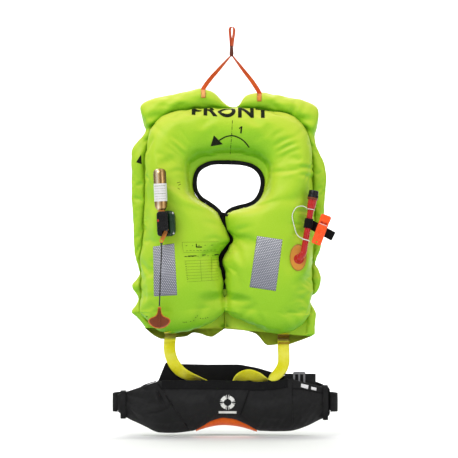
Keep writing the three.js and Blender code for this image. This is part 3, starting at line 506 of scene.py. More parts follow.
def strap(name, points, width, thick, n, mat, body=None, edge=0.25, wob=0.0, round_ends=False):
    """Webbing along [x, y, z, wx, wy, wz] points in mm: soft edges and a slightly domed face."""
    c = catmull(points, n)
    path, (t, w, nn) = c[:, :3] / 1000, frames_along(c[:, :3] / 1000, c[:, 3:])
    s = np.concatenate([[0], np.cumsum(np.linalg.norm(np.diff(path, axis=0), axis=1))])
    hw, ht = width / 2000, thick / 2000
    prof = []
    across = np.linspace(-1, 1, 9)
    for q in across:
        prof.append((q * hw, ht * (1 - edge * q**4)))
    for q in across[::-1]:
        prof.append((q * hw, -ht * (1 - edge * q**4)))
    rows, uv = [], []
    for i in range(n):
        rows.append([path[i] + w[i] * a + nn[i] * b for a, b in prof])
        uv.append([(s[i], a) for a, b in prof])
    o = grid(name, rows, close_v=True, caps=True, uv=uv)
    o.data.materials.append(mat)
    if body:
        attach(o, body)
    return o


def tube(name, path, radius, mat, sides=12, caps=True):
    p = np.asarray(path, float)
    t = np.gradient(p, axis=0)
    t /= np.linalg.norm(t, axis=1)[:, None]
    up = np.array([0.0, 1.0, 0.0]) if abs(t[0][1]) < 0.9 else np.array([1.0, 0, 0])
    rows, uv = [], []
    s = np.concatenate([[0], np.cumsum(np.linalg.norm(np.diff(p, axis=0), axis=1))])
    r = np.broadcast_to(radius, (len(p),))
    for i in range(len(p)):
        a = up - t[i] * (up @ t[i])
        a /= np.linalg.norm(a)
        b = np.cross(t[i], a)
        up = a
        ang = np.linspace(0, 2 * math.pi, sides, endpoint=False)
        rows.append([p[i] + r[i] * (math.cos(q) * a + math.sin(q) * b) for q in ang])
        uv.append([(s[i], q * r[i]) for q in ang])
    o = grid(name, rows, close_v=True, caps=caps, uv=uv)
    if mat:
        o.data.materials.append(mat)
    return o


def lathe(name, profile, mat, seg=64, at=None, axis=None, crease=32):
    """A turned piece from [r, s] in mm along an axis through a point, in metres."""
    prof = np.asarray(profile, float) / 1000
    ang = np.linspace(0, 2 * math.pi, seg, endpoint=False)
    verts, faces, idx = [], [], []
    for r, s in prof:
        if r < 1e-7:
            idx.append([len(verts)] * seg)
            verts.append((0, 0, s))
        else:
            idx.append(list(range(len(verts), len(verts) + seg)))
            verts.extend((r * math.cos(a), r * math.sin(a), s) for a in ang)
    for i in range(len(prof) - 1):
        for j in range(seg):
            f = [idx[i][j], idx[i][(j + 1) % seg], idx[i + 1][(j + 1) % seg], idx[i + 1][j]]
            f = [f[k] for k in range(4) if f[k] != f[k - 1]]
            if len(f) > 2:
                faces.append(f)
    o = make(name, verts, faces)
    if at is not None:
        q = Vector(axis if axis is not None else (0, 0, 1)).to_track_quat("Z", "Y")
        o.data.transform(Matrix.Translation(Vector(at)) @ q.to_matrix().to_4x4())
    fix_normals(o)
    smooth_by_angle(o, crease)
    o.data.materials.append(mat)
    return o


def fix_normals(o):
    bm = bmesh.new()
    bm.from_mesh(o.data)
    bmesh.ops.recalc_face_normals(bm, faces=bm.faces)
    bm.to_mesh(o.data)
    bm.free()
    return o


def block(name, outline, y0, y1, mat, bev=0.4, seg=3, holes=()):
    """A plate from an outline of x, z points in mm between two depths in mm, with rounded edges."""
    bm = bmesh.new()
    v = [bm.verts.new((x / 1000, y0 / 1000, z / 1000)) for x, z in outline]
    f = bm.faces.new(v)
    r = bmesh.ops.extrude_face_region(bm, geom=[f])
    bmesh.ops.translate(bm, vec=(0, (y1 - y0) / 1000, 0), verts=[g for g in r["geom"] if isinstance(g, bmesh.types.BMVert)])
    bmesh.ops.recalc_face_normals(bm, faces=bm.faces)
    me = bpy.data.meshes.new(name)
    bm.to_mesh(me)
    bm.free()
    o = link(name, me)
    if bev:
        bevel(o, bev / 1000, seg)
    smooth_by_angle(o, 40)
    o.data.materials.append(mat)
    return o


def rrect(x0, z0, x1, z1, r, n=6):
    pts = []
    for cx, cz, a0 in ((x1 - r, z0 + r, -90), (x1 - r, z1 - r, 0), (x0 + r, z1 - r, 90), (x0 + r, z0 + r, 180)):
        for k in range(n + 1):
            a = math.radians(a0 + 90 * k / n)
            pts.append((cx + r * math.cos(a), cz + r * math.sin(a)))
    return pts


def local(o, at, rot):
    """Moves a piece built in an assembly's own frame (mm) to its place."""
    o.data.transform(Matrix.Translation(Vector(at)) @ rot)
    return o


def tree(o):
    dg = bpy.context.evaluated_depsgraph_get()
    return BVHTree.FromObject(o, dg)


def front_of(bvh, x, z, start=-0.6):
    """Depth and normal of a surface seen from the front at x, z."""
    hit = bvh.ray_cast(Vector((x, start, z)), Vector((0, 1, 0)))
    return (hit[0].y, hit[1]) if hit[0] is not None else (None, None)


# ---------------------------------------------------------------- air chambers
# sections from the left lobe's foot, round the neck, to the right lobe's foot: inner edge u, v, outer edge u, v, height in mm
FRONT = [
    (224.5, 305.0, 139.0, 312.0, 50, 0), (224.2, 290.0, 139.0, 292.0, 57, 0), (222.4, 272.0, 139.0, 273.0, 60, 0), (220.2, 257.0, 139.0, 256.0, 60, 0),
    (226.2, 246.0, 141.0, 239.0, 60, 0), (229.6, 238.3, 142.0, 222.0, 60, 0), (220.4, 217.2, 143.0, 206.0, 60, 0), (214.8, 209.6, 143.5, 192.0, 59, 3),
    (201.0, 200.6, 144.0, 178.0, 58, 7), (194.6, 192.6, 144.5, 162.0, 56, 11), (193.9, 181.2, 147.0, 144.0, 53, 17), (196.4, 171.3, 151.5, 128.0, 48, 21),
    (203.8, 165.2, 163.5, 115.6, 43, 21), (215.1, 162.0, 191.0, 108.0, 42, 20), (229.0, 161.0, 232.0, 106.4, 43, 19), (241.9, 161.8, 271.0, 109.4, 42, 20),
    (253.7, 166.0, 292.5, 115.8, 44, 21), (260.6, 173.0, 304.0, 127.0, 48, 21), (263.1, 180.6, 309.5, 141.0, 52, 17), (262.2, 189.6, 312.5, 156.0, 55, 10),
    (258.9, 197.6, 313.5, 170.0, 56, 6), (253.0, 203.3, 314.0, 186.0, 58, 3), (246.7, 206.5, 315.0, 200.0, 59, 0), (239.0, 208.6, 316.0, 214.0, 60, 0),
    (225.7, 215.0, 316.5, 228.0, 60, 0), (226.6, 228.8, 316.5, 240.0, 60, 0), (232.2, 238.3, 315.5, 252.0, 60, 0), (228.3, 247.2, 314.5, 264.0, 60, 0),
    (222.4, 259.5, 314.0, 277.0, 60, 0), (223.6, 272.0, 314.0, 291.0, 57, 0), (224.6, 290.0, 312.0, 303.0, 52, 0), (224.5, 305.0, 310.5, 313.5, 46, 0),
]
FOOT_LEFT = [(224.5, 312.0), (212, 322.5), (199, 328.5), (186, 332), (173, 333.5), (160, 331.5), (151, 325.5), (146, 319)]
FOOT_RIGHT = [(224.5, 312.0), (238, 319.5), (254, 326.5), (266, 332.5), (280, 334.0), (294, 330.5), (302, 325), (308, 317.5)]
REAR_FOOT_LEFT = [(224.5, 329.2), (217, 334.5), (212, 337.8), (206, 336.3), (199.5, 333.8), (192.5, 332.9), (187, 336.9), (174, 338.3), (161, 339.8), (153, 335.8), (144.5, 328.5)]
REAR_FOOT_RIGHT = [(224.5, 329.2), (236, 329.4), (247.7, 331.6), (256, 334.0), (260, 337.8), (264.5, 344.2), (268, 346.3), (277.4, 345.0), (290, 344.8), (302, 340.6), (312, 336.8)]
REAR_EDGE = [
    (144.3, 326.5), (144.2, 322.5), (141.5, 319.6), (136.5, 319.7), (132.4, 318), (130.8, 314), (131.8, 309.5), (135.3, 305), (137.4, 300.5), (136.6, 295.5), (132.8, 290.5), (131.4, 286.5),
    (132.4, 283.2), (136.4, 278.8), (138.6, 273.5), (137.4, 266), (135.2, 258), (133.6, 246), (132.6, 225), (131.2, 200), (130.9, 175), (130.5, 158), (132.0, 148.5), (136.8, 141),
    (141.6, 136), (144.2, 131.5), (143.3, 126), (141.8, 119), (140.0, 111), (139.3, 106), (141.6, 102.6), (146.7, 99.8), (154.1, 97.1), (163.0, 95.0), (175, 92.6), (188, 90.0),
    (201, 86.8), (208, 89.6), (214.5, 91.3), (219, 96.5), (225, 102.6), (230, 106.4), (236.5, 107.4), (239.8, 104), (243.3, 96.8), (246.5, 93.8), (255, 92.3), (263, 91.2),
    (275, 93.2), (288, 95.8), (300, 98), (309, 101.3), (316, 105), (318.9, 109), (319.3, 116), (318.0, 125), (316.1, 133), (315.7, 138.5), (317.5, 147), (321, 155),
    (324.4, 163), (326.4, 172), (326.8, 181), (326.0, 190), (325.2, 205), (324.0, 225), (322.3, 240), (320.6, 250), (317.2, 258), (316.3, 264.5), (319.4, 271), (321.2, 277.5),
    (320.3, 286), (316.8, 292.7), (311.5, 297), (310.0, 299.8), (312.0, 304.6), (315.8, 311.6), (318.2, 320.5), (318.3, 328.5), (315.5, 334.6),
]
GAPS = 0.0006          # each chamber's flat side stands this far from the middle plane
PER = 9                # rows between two sections
COLS = 44


def crossing(a, b, line):
    """Where the ray from a through b last meets a line of points."""
    best = None
    d = b - a
    for p, q in zip(line[:-1], line[1:]):
        e = q - p
        den = d[0] * e[1] - d[1] * e[0]
        if abs(den) < 1e-12:
            continue
        w = p - a
        t = (w[0] * e[1] - w[1] * e[0]) / den
        s = (w[0] * d[1] - w[1] * d[0]) / den
        if -0.001 <= s <= 1.001 and t > 0.6 and (best is None or t > best[0]):
            best = (t, a + d * t)
    return best[1] if best else b


def grid_to_m(p):
    p = np.asarray(p, float)
    return np.stack([(p[..., 0] - 232) * UNIT, -(p[..., 1] - 26) * UNIT], axis=-1)


rows0 = catmull(np.array(FRONT), (len(FRONT) - 1) * PER + 1)
N0 = len(rows0)
# the lobes share their inner edge under the slit
share = smooth01((rows0[:, 1] - 290.0) / 12.0)
for i in range(2 * PER):
    j = N0 - 1 - i
    m = (rows0[i, :2] + rows0[j, :2]) / 2
    k = float(smooth01((m[1] - 291.0) / 9.0))
    rows0[i, :2] += (m - rows0[i, :2]) * k
    rows0[j, :2] += (m - rows0[j, :2]) * k
u_col = (1 - np.cos(np.pi * np.linspace(0, 1, COLS))) / 2
u_col = 0.35 * np.linspace(0, 1, COLS) + 0.65 * u_col


def dome(u, n=2.6):
    return np.power(np.clip(1 - np.abs(1 - 2 * u) ** n, 0, 1), 1 / n)


def section_height(u, t, band, web, n=2.6, low=0.9):
    """Height in mm across a section; band is the share of the width that lies nearly flat at the neck, web the height of the inner edge."""
    v = np.clip((u - band) / (1 - band), 0, 1)
    lead = 5.5 * smooth01(np.clip(u / max(band, 1e-6), 0, 1)) if band > 0.01 else 0.0
    d = dome(v, n)
    y = lead * (1 - v) ** 1.5 + t * d * low
    if web > 0:
        s = smooth01(np.clip(u / 0.42, 0, 1))
        soft = web + (t * low * np.where(u < 0.5, dome(np.full_like(u, 0.5)), d) - web) * s
        k = web / 22.0
        y = np.where(u < 0.5, y * (1 - k) + soft * k, y)
        y = np.maximum(y, web * (1 - u))
    return y


def foot_rows(first, foot, outer_path, count, t0, web0, side_low, power=2.3):
    """Rows that carry the first section down to the foot line."""
    inner, outer = grid_to_m(first[:2]), grid_to_m(first[2:4])
    line0 = inner + (outer - inner) * u_col[:, None]
    foot_m = resample(grid_to_m(np.array(foot)), 200)
    foot_at = np.stack([np.interp(u_col, np.linspace(0, 1, 200), foot_m[:, k]) for k in range(2)], axis=1)
    out = []
    for w in np.linspace(0, 1, count + 1)[1:]:
        ww = 1 - (1 - w) ** 1.25
        pts = line0 * (1 - ww) + foot_at * ww
        pts[-1] = outer_path(ww)
        fade = (1 - ww**power) ** (1 / power) if ww < 1 else 0.0
        out.append((pts, t0 * fade, web0 * fade))
    return out


def path_on(line):
    m = resample(grid_to_m(np.array(line)), 100)
    return lambda w: np.array([np.interp(w, np.linspace(0, 1, 100), m[:, k]) for k in range(2)])


FOOT_N = 22


def front_rows():
    rows, web = [], []
    plan = []
    for r in rows0:
        inner, outer = grid_to_m(r[:2]), grid_to_m(r[2:4])
        plan.append((inner + (outer - inner) * u_col[:, None], r[4], 21.0 * float(smooth01((r[1] - 289.0) / 14.0)), r[5]))
    left = [(p, t, w, 0) for p, t, w in foot_rows(rows0[0], FOOT_LEFT, path_on([(139, 312), (139.6, 316), (142, 318.5), (146, 319)]), FOOT_N, rows0[0][4], 21.0, 1)]
    right = [(p, t, w, 0) for p, t, w in foot_rows(rows0[-1], FOOT_RIGHT, path_on([(310.5, 313.5), (310.3, 315.2), (309.5, 316.5), (308, 317.5)]), FOOT_N, rows0[-1][4], 21.0, 1)]
    return left[::-1] + plan + right


def build_front():
    plan = front_rows()
    pts, pin = [], []
    for i, (line, t, web, band_mm) in enumerate(plan):
        width = np.linalg.norm(line[-1] - line[0]) * 1000
        band = band_mm * 2.05 / 2.05 / width if band_mm > 0.5 else 0.0
        y = section_height(u_col, t, band, web)
        pts.append(np.stack([line[:, 0], -(GAPS + y / 1000), line[:, 1]], axis=1))
        p = np.zeros(COLS)
        p[-1] = 1
        p[0] = 1 if web < 1.5 else 0
        if band > 0:
            p[u_col < band * 0.75] = 1
        pin.append(p)
    pts, pin = np.array(pts), np.array(pin)
    pin[0], pin[-1] = 1, 1
    return pts, pin


def run_cloth(o, pins, frames, pressure, grow, cap, bend, stiff=18, mass=0.2):
    """Blows the piece up on its pinned seams, then keeps every point within cap of where it began."""
    start = np.array([v.co for v in o.data.vertices])
    g = o.vertex_groups.new(name="pin")
    for w in (1.0,):
        g.add([int(i) for i in np.nonzero(pins > 0.5)[0]], w, "REPLACE")
    m = o.modifiers.new("cloth", "CLOTH")
    c = m.settings
    c.vertex_group_mass = "pin"
    c.pin_stiffness = 1
    c.quality = 5
    c.mass = mass
    c.tension_stiffness = c.compression_stiffness = stiff
    c.shear_stiffness = stiff * 0.5
    c.bending_stiffness = bend
    c.tension_damping = c.compression_damping = 12
    c.air_damping = 3
    c.use_pressure = True
    c.uniform_pressure_force = pressure
    c.shrink_min = -grow
    c.effector_weights.gravity = 0
    m.collision_settings.use_collision = False
    m.collision_settings.use_self_collision = False
    m.point_cache.frame_start, m.point_cache.frame_end = 1, frames
    scene.frame_start, scene.frame_end = 1, frames
    for f in range(1, frames + 1):
        scene.frame_set(f)
    dg = bpy.context.evaluated_depsgraph_get()
    e = o.evaluated_get(dg)
    end = np.array([v.co for v in e.data.vertices])
    o.modifiers.clear()
    scene.frame_set(1)
    d = end - start
    l = np.linalg.norm(d, axis=1)
    k = np.where(l > cap, cap / np.maximum(l, 1e-9), 1.0)
    end = start + d * k[:, None]
    bad = ~np.isfinite(end).all(axis=1)
    end[bad] = start[bad]
    o.data.vertices.foreach_set("co", end.astype(np.float32).ravel())
    o.data.update()
    return start, end


def seg_distance(p, line):
    """Distance of points to a line of points, and how far along it the nearest point lies, 0 to 1."""
    best = np.full(len(p), 1e9)
    along = np.zeros(len(p))
    l = np.concatenate([[0], np.cumsum(np.linalg.norm(np.diff(line, axis=0), axis=1))])
    for i in range(len(line) - 1):
        a, b = line[i], line[i + 1]
        e = b - a
        t = np.clip(((p - a) @ e) / max(e @ e, 1e-12), 0, 1)
        d = np.linalg.norm(p - (a + t[:, None] * e), axis=1)
        m = d < best
        best[m] = d[m]
        along[m] = (l[i] + t[m] * (l[i + 1] - l[i])) / l[-1]
    return best, along


# folds in the fabric: points on the grid, depth mm (below 0 stands proud), width mm
FRONT_FOLDS = [
    ([(171, 143), (177, 148), (184, 155)], 2.2, 4.0), ([(173, 137), (179, 142), (186, 149)], 1.8, 4.0), ([(178, 135), (183, 141), (187, 147)], 1.4, 3.5), ([(168, 147), (175, 152), (182, 158)], 1.4, 4.5),
    ([(181, 131), (185, 137), (189, 143)], 1.3, 3.5), ([(272, 138), (277, 134), (283, 131)], 1.2, 4.0), ([(275, 146), (284, 141), (292, 138)], 2.0, 4.0), ([(278, 152), (287, 147), (297, 143)], 2.2, 4.0),
    ([(280, 158), (289, 153), (299, 150)], 1.8, 4.5), ([(274, 172.5), (285, 171.5), (296, 170), (305, 168.5), (311, 170)], 3.2, 4.5), ([(282, 168), (293, 166.5), (304, 167), (312, 169.5)], 1.5, 3.5),
    ([(295, 174), (303, 175), (312, 178)], 1.6, 4.5), ([(170, 173), (178, 171), (184, 172.5)], 1.3, 4.0), ([(224.5, 288), (225, 296), (226, 305), (227, 314)], 5.0, 7.0),
    ([(145, 276), (149, 275), (154, 274.5)], 1.6, 3.5), ([(143, 299), (149, 296), (155, 296)], 1.4, 4.0), ([(196, 330), (199, 318), (205, 306)], 2.0, 7.0), ([(163, 332), (164, 322), (168, 312)], 1.8, 6.0),
    ([(263, 332), (262, 322), (258, 313)], 2.4, 6.0), ([(297, 328), (293, 318), (286, 311)], 2.2, 7.0), ([(308, 306), (303, 300), (296, 297)], 2.0, 6.0), ([(240, 320), (246, 312), (255, 306)], 1.6, 6.0),
    ([(233, 243), (238, 250), (240, 262)], 2.2, 6.0), ([(230, 262), (236, 270), (238, 284)], 1.5, 6.0), ([(219, 256), (214, 262), (213, 272)], 1.8, 6.0), ([(222, 240), (214, 238), (207, 240)], 1.5, 5.0),
    ([(221, 226), (214, 224), (205, 222)], 1.4, 5.0), ([(233, 231), (241, 229), (250, 226)], 1.4, 5.0), ([(150, 122), (160, 131), (168, 139)], 1.0, 5.0), ([(306, 128), (298, 135), (291, 140)], 1.0, 5.0),
]


def fold(co, no, folds, scale=1.0):
    xz = co[:, [0, 2]]
    out = co.copy()
    for line, depth, width in folds:
        m = catmull(grid_to_m(np.array(line)), 24)
        d, t = seg_distance(xz, m)
        w = width / 1000
        k = np.exp(-((d / w) ** 2)) - 0.35 * np.exp(-(((d - 1.9 * w) / w) ** 2))
        taper = np.sin(np.pi * np.clip(0.06 + t * 0.88, 0, 1)) ** 0.7
        out -= no * (depth / 1000 * scale * k * taper)[:, None]
    return out


def normals_of(o):
    n = np.zeros(len(o.data.vertices) * 3, np.float32)
    o.data.vertices.foreach_get("normal", n)
    return n.reshape(-1, 3).astype(float)


pts, pin = build_front()
ROWS = len(pts)
front = grid("bladder_front_skin", pts)
fix_normals(front)
if sum(f.normal.y for f in front.data.polygons) > 0:
    front.data.flip_normals()
bm = bmesh.new()
bm.from_mesh(front.data)
pin_layer = bm.verts.layers.float.new("pin")
bm.verts.ensure_lookup_table()
for v, p in zip(bm.verts, pin.ravel()):
    v[pin_layer] = p
bmesh.ops.remove_doubles(bm, verts=bm.verts, dist=0.0003)
bm.to_mesh(front.data)
bm.free()
pins = np.array([a.value for a in front.data.attributes["pin"].data])
run_cloth(front, pins, 16, 4.0, 0.028, 0.008, 2.0)
def relax(o, lines, reach, rounds):
    """Evens out the fabric near lines on the grid."""
    co = np.array([v.co for v in o.data.vertices])
    e = np.array([tuple(q.vertices) for q in o.data.edges])
    w = np.zeros(len(co))
    for l in lines:
        d, _ = seg_distance(co[:, [0, 2]], catmull(grid_to_m(np.array(l, float)), 20))
        w = np.maximum(w, np.exp(-((d * 1000 / reach) ** 2)))
    w = w * (1 - np.clip(pins, 0, 1)) * 0.6
    n = np.zeros(len(co))
    np.add.at(n, e[:, 0], 1)
    np.add.at(n, e[:, 1], 1)
    for _ in range(rounds):
        t = np.zeros_like(co)
        np.add.at(t, e[:, 0], co[e[:, 1]])
        np.add.at(t, e[:, 1], co[e[:, 0]])
        co += (t / n[:, None] - co) * w[:, None]
    o.data.vertices.foreach_set("co", co.astype(np.float32).ravel())
    o.data.update()


relax(front, [[(150, 199), (168, 201), (196, 207), (213, 212)], [(256, 206), (275, 202), (296, 197), (312, 193)]], 15, 26)
co = np.array([v.co for v in front.data.vertices])
no = normals_of(front)
co = fold(co, no, FRONT_FOLDS)
# the fabric lies against the flanges of the inflator and the oral tube
def press(co, u, v, ru, rv, depth_mm, soft):
    d = np.sqrt(((co[:, 0] - X(u)) / (ru * UNIT)) ** 2 + ((co[:, 2] - Z(v)) / (rv * UNIT)) ** 2)
    k = 1 - smooth01((d - 1.0) / soft)
    co[:, 1] = co[:, 1] * (1 - k) + (-depth_mm / 1000) * k
    return co


co = press(co, 167.9, 223.7, 10.5, 13.0, 60.4, 1.1)
co = press(co, 297.5, 257.3, 9.0, 14.0, 58.6, 0.9)
co[:, 1] = np.minimum(co[:, 1], -GAPS)
front.data.vertices.foreach_set("co", co.astype(np.float32).ravel())
front.data.update()
# close the back on the seam
bm = bmesh.new()
bm.from_mesh(front.data)
edge = [e for e in bm.edges if e.is_boundary]
bmesh.ops.triangle_fill(bm, use_beauty=True, use_dissolve=False, edges=edge)
bmesh.ops.recalc_face_normals(bm, faces=bm.faces)
for f in bm.faces:
    f.smooth = True
bm.to_mesh(front.data)
bm.free()
front.data.attributes.remove(front.data.attributes["pin"])
subdivide(front, 1)
front.name = "bladder_front_inflated"
front.data.materials.append(LIME)
FRONT_TREE = tree(front)


# the rear chamber: a back dome, and a rolled border that shows round the front chamber
REAR_BACK = [(t, ) for t in (40, 46, 50, 50, 50, 50, 50, 49, 48, 47, 44, 40, 31, 27, 30, 27, 31, 38, 42, 46, 48, 48, 49, 50, 50, 50, 50, 50, 48, 44, 40, 36)]
back_t = catmull(np.array(REAR_BACK, float), N0)[:, 0]
edge_m = grid_to_m(np.array(REAR_EDGE))
BACKC, ROLLC, FLATC = 40, 13, 5


def build_rear():
    rings, pins = [], []
    plan = []
    edge_dense = resample(catmull(edge_m, 900), 900)
    for i, r in enumerate(rows0):
        inner, outer = grid_to_m(r[:2]), grid_to_m(r[2:4])
        far = crossing(inner, outer, edge_dense)
        plan.append((inner, outer, far, back_t[i], 0.0, None))
    # even out the spacing of the outer points
    far = np.array([p[2] for p in plan])
    s = np.array([np.argmin(((edge_dense - f) ** 2).sum(1)) for f in far], float)
    s = np.maximum.accumulate(s)
    for _ in range(30):
        s[1:-1] = 0.5 * s[1:-1] + 0.25 * (s[:-2] + s[2:])
    far = np.stack([np.interp(s, np.arange(len(edge_dense)), edge_dense[:, k]) for k in range(2)], axis=1)
    rows = []
    ub = (1 - np.cos(np.pi * np.linspace(0, 1, BACKC))) / 2
    ub = 0.35 * np.linspace(0, 1, BACKC) + 0.65 * ub

    def ring(inner_line, outline, front_pt, t, web, fade):
        """inner_line: points across from the inner edge to the outer seam."""
        b = np.linalg.norm(outline - front_pt) * 1000
        seam = min(10.0, 0.34 * b) * fade
        back = section_height(ub, t, 0.0, web, 2.4, 0.9)
        yb = GAPS * 1000 + back + seam * ub**5
        r = [(p[0], y / 1000, p[1]) for p, y in zip(inner_line, yb)]
        v = np.linspace(0, 1, ROLLC)[1:]
        swell = min(15.0, 0.40 * b) * fade
        for q in v:
            c = outline + (front_pt - outline) * (1 - np.cos(q * np.pi)) / 2
            y = seam * (1 - q) ** 1.3 - swell * np.sin(np.pi * q) ** 0.8 + GAPS * 1000 * q
            r.append((c[0], y / 1000, c[1]))
        for q in np.linspace(0, 1, FLATC + 1)[1:-1]:
            c = front_pt + (inner_line[0] - front_pt) * q
            r.append((c[0], GAPS, c[1]))
        pn = np.zeros(len(r))
        pn[0] = 1 if web < 1.5 else 0
        pn[BACKC - 1] = 1
        pn[BACKC + ROLLC - 2:] = 1
        return r, pn

    for i, (inner, outer, _, t, w, _) in enumerate(plan):
        f = far[i]
        web = 20.0 * float(smooth01((rows0[i][1] - 289.0) / 14.0))
        line = inner + (f - inner) * ub[:, None]
        fr = inner + (outer - inner) * 0.985
        rows.append(ring(line, f, fr, t, web, 1.0))
    for side, foot, ffoot, k in ((0, REAR_FOOT_LEFT, FOOT_LEFT, 0), (1, REAR_FOOT_RIGHT, FOOT_RIGHT, -1)):
        inner = plan[k][0]
        o = far[k]
        path = resample(np.vstack([o, grid_to_m(np.array([REAR_EDGE[0] if side == 0 else REAR_EDGE[-1]])), grid_to_m(np.array(foot[-1:]))]), 60)
        foot_m = resample(grid_to_m(np.array(foot)), 200)
        ff = resample(grid_to_m(np.array(ffoot)), 200)
        extra = []
        line0 = inner + (o - inner) * ub[:, None]
        foot_at = np.stack([np.interp(ub, np.linspace(0, 1, 200), foot_m[:, c]) for c in range(2)], axis=1)
        for w in np.linspace(0, 1, FOOT_N + 1)[1:]:
            ww = 1 - (1 - w) ** 1.25
            line = line0 * (1 - ww) + foot_at * ww
            line[-1] = [np.interp(ww, np.linspace(0, 1, 60), path[:, c]) for c in range(2)]
            fade = max((1 - ww**2.3) ** (1 / 2.3), 0.0) if ww < 1 else 0.0
            frp = line[0] + (line[-1] - line[0]) * 0.9
            extra.append(ring(line, line[-1], frp, plan[k][3] * fade, 20.0 * fade, max(fade, 0.05)))
        rows = extra[::-1] + rows if side == 0 else rows + extra
    return np.array([r[0] for r in rows]), np.array([r[1] for r in rows])


rp, rpin = build_rear()
rear = grid("bladder_rear_skin", rp, close_v=True)
rpin[0], rpin[-1] = 1, 1
bm = bmesh.new()
bm.from_mesh(rear.data)
pl = bm.verts.layers.float.new("pin")
bm.verts.ensure_lookup_table()
for v, p in zip(bm.verts, rpin.ravel()):
    v[pl] = p
# the ring between the two ends of the foot rows and the shared inner edge are sewn together
bmesh.ops.remove_doubles(bm, verts=bm.verts, dist=0.0003)
bmesh.ops.recalc_face_normals(bm, faces=bm.faces)
bm.to_mesh(rear.data)
bm.free()
c = np.array([v.co for v in rear.data.vertices])
n = normals_of(rear)
if n[c[:, 1].argmax()][1] < 0:
    rear.data.flip_normals()
pins = np.array([a.value for a in rear.data.attributes["pin"].data])
run_cloth(rear, pins, 14, 3.0, 0.018, 0.006, 2.4)
REAR_FOLDS = [
    ([(143, 129), (149, 128), (156, 124)], 5.0, 6.0), ([(145, 121), (151, 117), (158, 113)], 3.5, 6.0), ([(153, 107), (163, 106), (172, 100)], 2.5, 6.0), ([(172, 108), (182, 103), (196, 92)], 3.2, 6.0),
    ([(162, 103), (172, 97), (180, 93)], 2.0, 6.0), ([(186, 105), (196, 99), (206, 96)], 2.0, 5.0), ([(313, 135), (307, 130), (300, 125)], 5.0, 6.0), ([(312, 121), (305, 119), (298, 119)], 3.5, 6.0),
    ([(297, 98), (295, 107), (290, 117)], 3.0, 6.0), ([(305, 100), (303, 108), (300, 116)], 2.0, 6.0), ([(272, 94), (274, 102), (276, 109)], 3.0, 6.0), ([(264, 94), (266, 101), (268, 108)], 2.0, 5.0),
    ([(131, 160), (136, 152), (141, 146)], 1.5, 5.0), ([(326, 172), (321, 163), (316, 152)], 1.5, 5.0), ([(133, 286), (138, 286), (143, 284)], -2.0, 6.0), ([(137, 273), (141, 274), (145, 275)], 2.6, 5.0),
    ([(137, 299), (141, 300), (146, 300)], 2.6, 5.0), ([(131, 313), (137, 312), (143, 310)], -2.0, 6.0), ([(316.5, 264), (312, 264), (309, 264)], 2.6, 5.0), ([(320, 279), (314, 279), (311, 279)], -2.0, 6.0),
    ([(310, 299), (306, 298), (303, 297)], 2.6, 5.0), ([(192.5, 333), (193, 329), (194, 325)], 2.6, 5.0), ([(207, 336), (207, 331), (208, 326)], -2.0, 5.0), ([(256, 334), (258, 331), (261, 328)], 2.6, 5.0),
]
c = np.array([v.co for v in rear.data.vertices])
n = normals_of(rear)
facing = n[:, 1] < 0.2
c2 = fold(c, n, REAR_FOLDS)
c[facing] = c2[facing]
rear.data.vertices.foreach_set("co", c.astype(np.float32).ravel())
rear.data.update()
rear.data.attributes.remove(rear.data.attributes["pin"])
subdivide(rear, 1)
rear.name = "bladder_rear_inflated"
rear.data.materials.append(LIME)
REAR_TREE = tree(rear)

for o, node in ((front, "bladder_front_chamber"), (rear, "bladder_rear_chamber")):
    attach(o, "jacket")
    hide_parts(node)


# ---------------------------------------------------------------- binding round the neck and down the slit
def loop_points(p, n):
    p = np.asarray(p, float)
    return resample(catmull(p, len(p) * 12), n)


HOLE = [(229.5, 164.3), (226, 164.3), (213.5, 164.6), (205, 167.6), (199.6, 172), (197.3, 178), (197.0, 185), (198.4, 191), (202.5, 196.6), (209.5, 201.2), (215.5, 205.4), (220.5, 210.2), (223.4, 214.6)]
HOLE2 = [(223.8, 215.0), (226.5, 210.6), (231.5, 207.2), (238, 205.0), (246.5, 203.0), (252.6, 200.2), (256.8, 195.4), (259.6, 188.6), (260.5, 181.4), (258.4, 174.4), (252.0, 168.2), (241.0, 165.0), (226, 164.3)]


def binding(name, line, width, side, lift=0.0):
    """A folded tape over the edge: it shows on the front and on the back."""
    n = 150
    c = catmull(np.array(line), n)
    t = np.gradient(c, axis=0)
    t /= np.linalg.norm(t, axis=1)[:, None]
    nrm = np.stack([t[:, 1], -t[:, 0]], axis=1) * side
    w = np.broadcast_to(np.interp(np.linspace(0, 1, n), np.linspace(0, 1, len(width)), width), (n,))
    prof = [(1.0, 2.2), (0.7, 3.6), (0.35, 4.3), (0.1, 3.7), (0.0, 1.8), (0.0, -1.8), (0.1, -3.7), (0.35, -4.5), (0.7, -4.7), (1.0, -4.2), (1.02, -1.6), (1.02, 1.2)]
    s = np.concatenate([[0], np.cumsum(np.linalg.norm(np.diff(c, axis=0), axis=1))]) * UNIT
    rows, uv = [], []
    for i in range(n):
        wob = 1 + 0.012 * math.sin(i * 0.45) + 0.03 * math.sin(i * 0.17 + 1)
        r = []
        for k, (a, y) in enumerate(prof):
            q = c[i] + nrm[i] * a * w[i] * wob
            yy = y
            if y < 0 and a > 0.3:
                d, _ = front_of(FRONT_TREE, X(q[0]), Z(q[1]))
                if d is not None:
                    yy = min(y, d * 1000 - 0.9)
            r.append((X(q[0]), yy / 1000 - lift, Z(q[1])))
        rows.append(r)
        uv.append([(s[i], k * 0.0011) for k in range(len(prof))])
    o = grid(name, rows, close_v=True, caps=True, uv=uv)
    fix_normals(o)
    o.data.materials.append(BINDING)
    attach(o, "jacket")
    return o


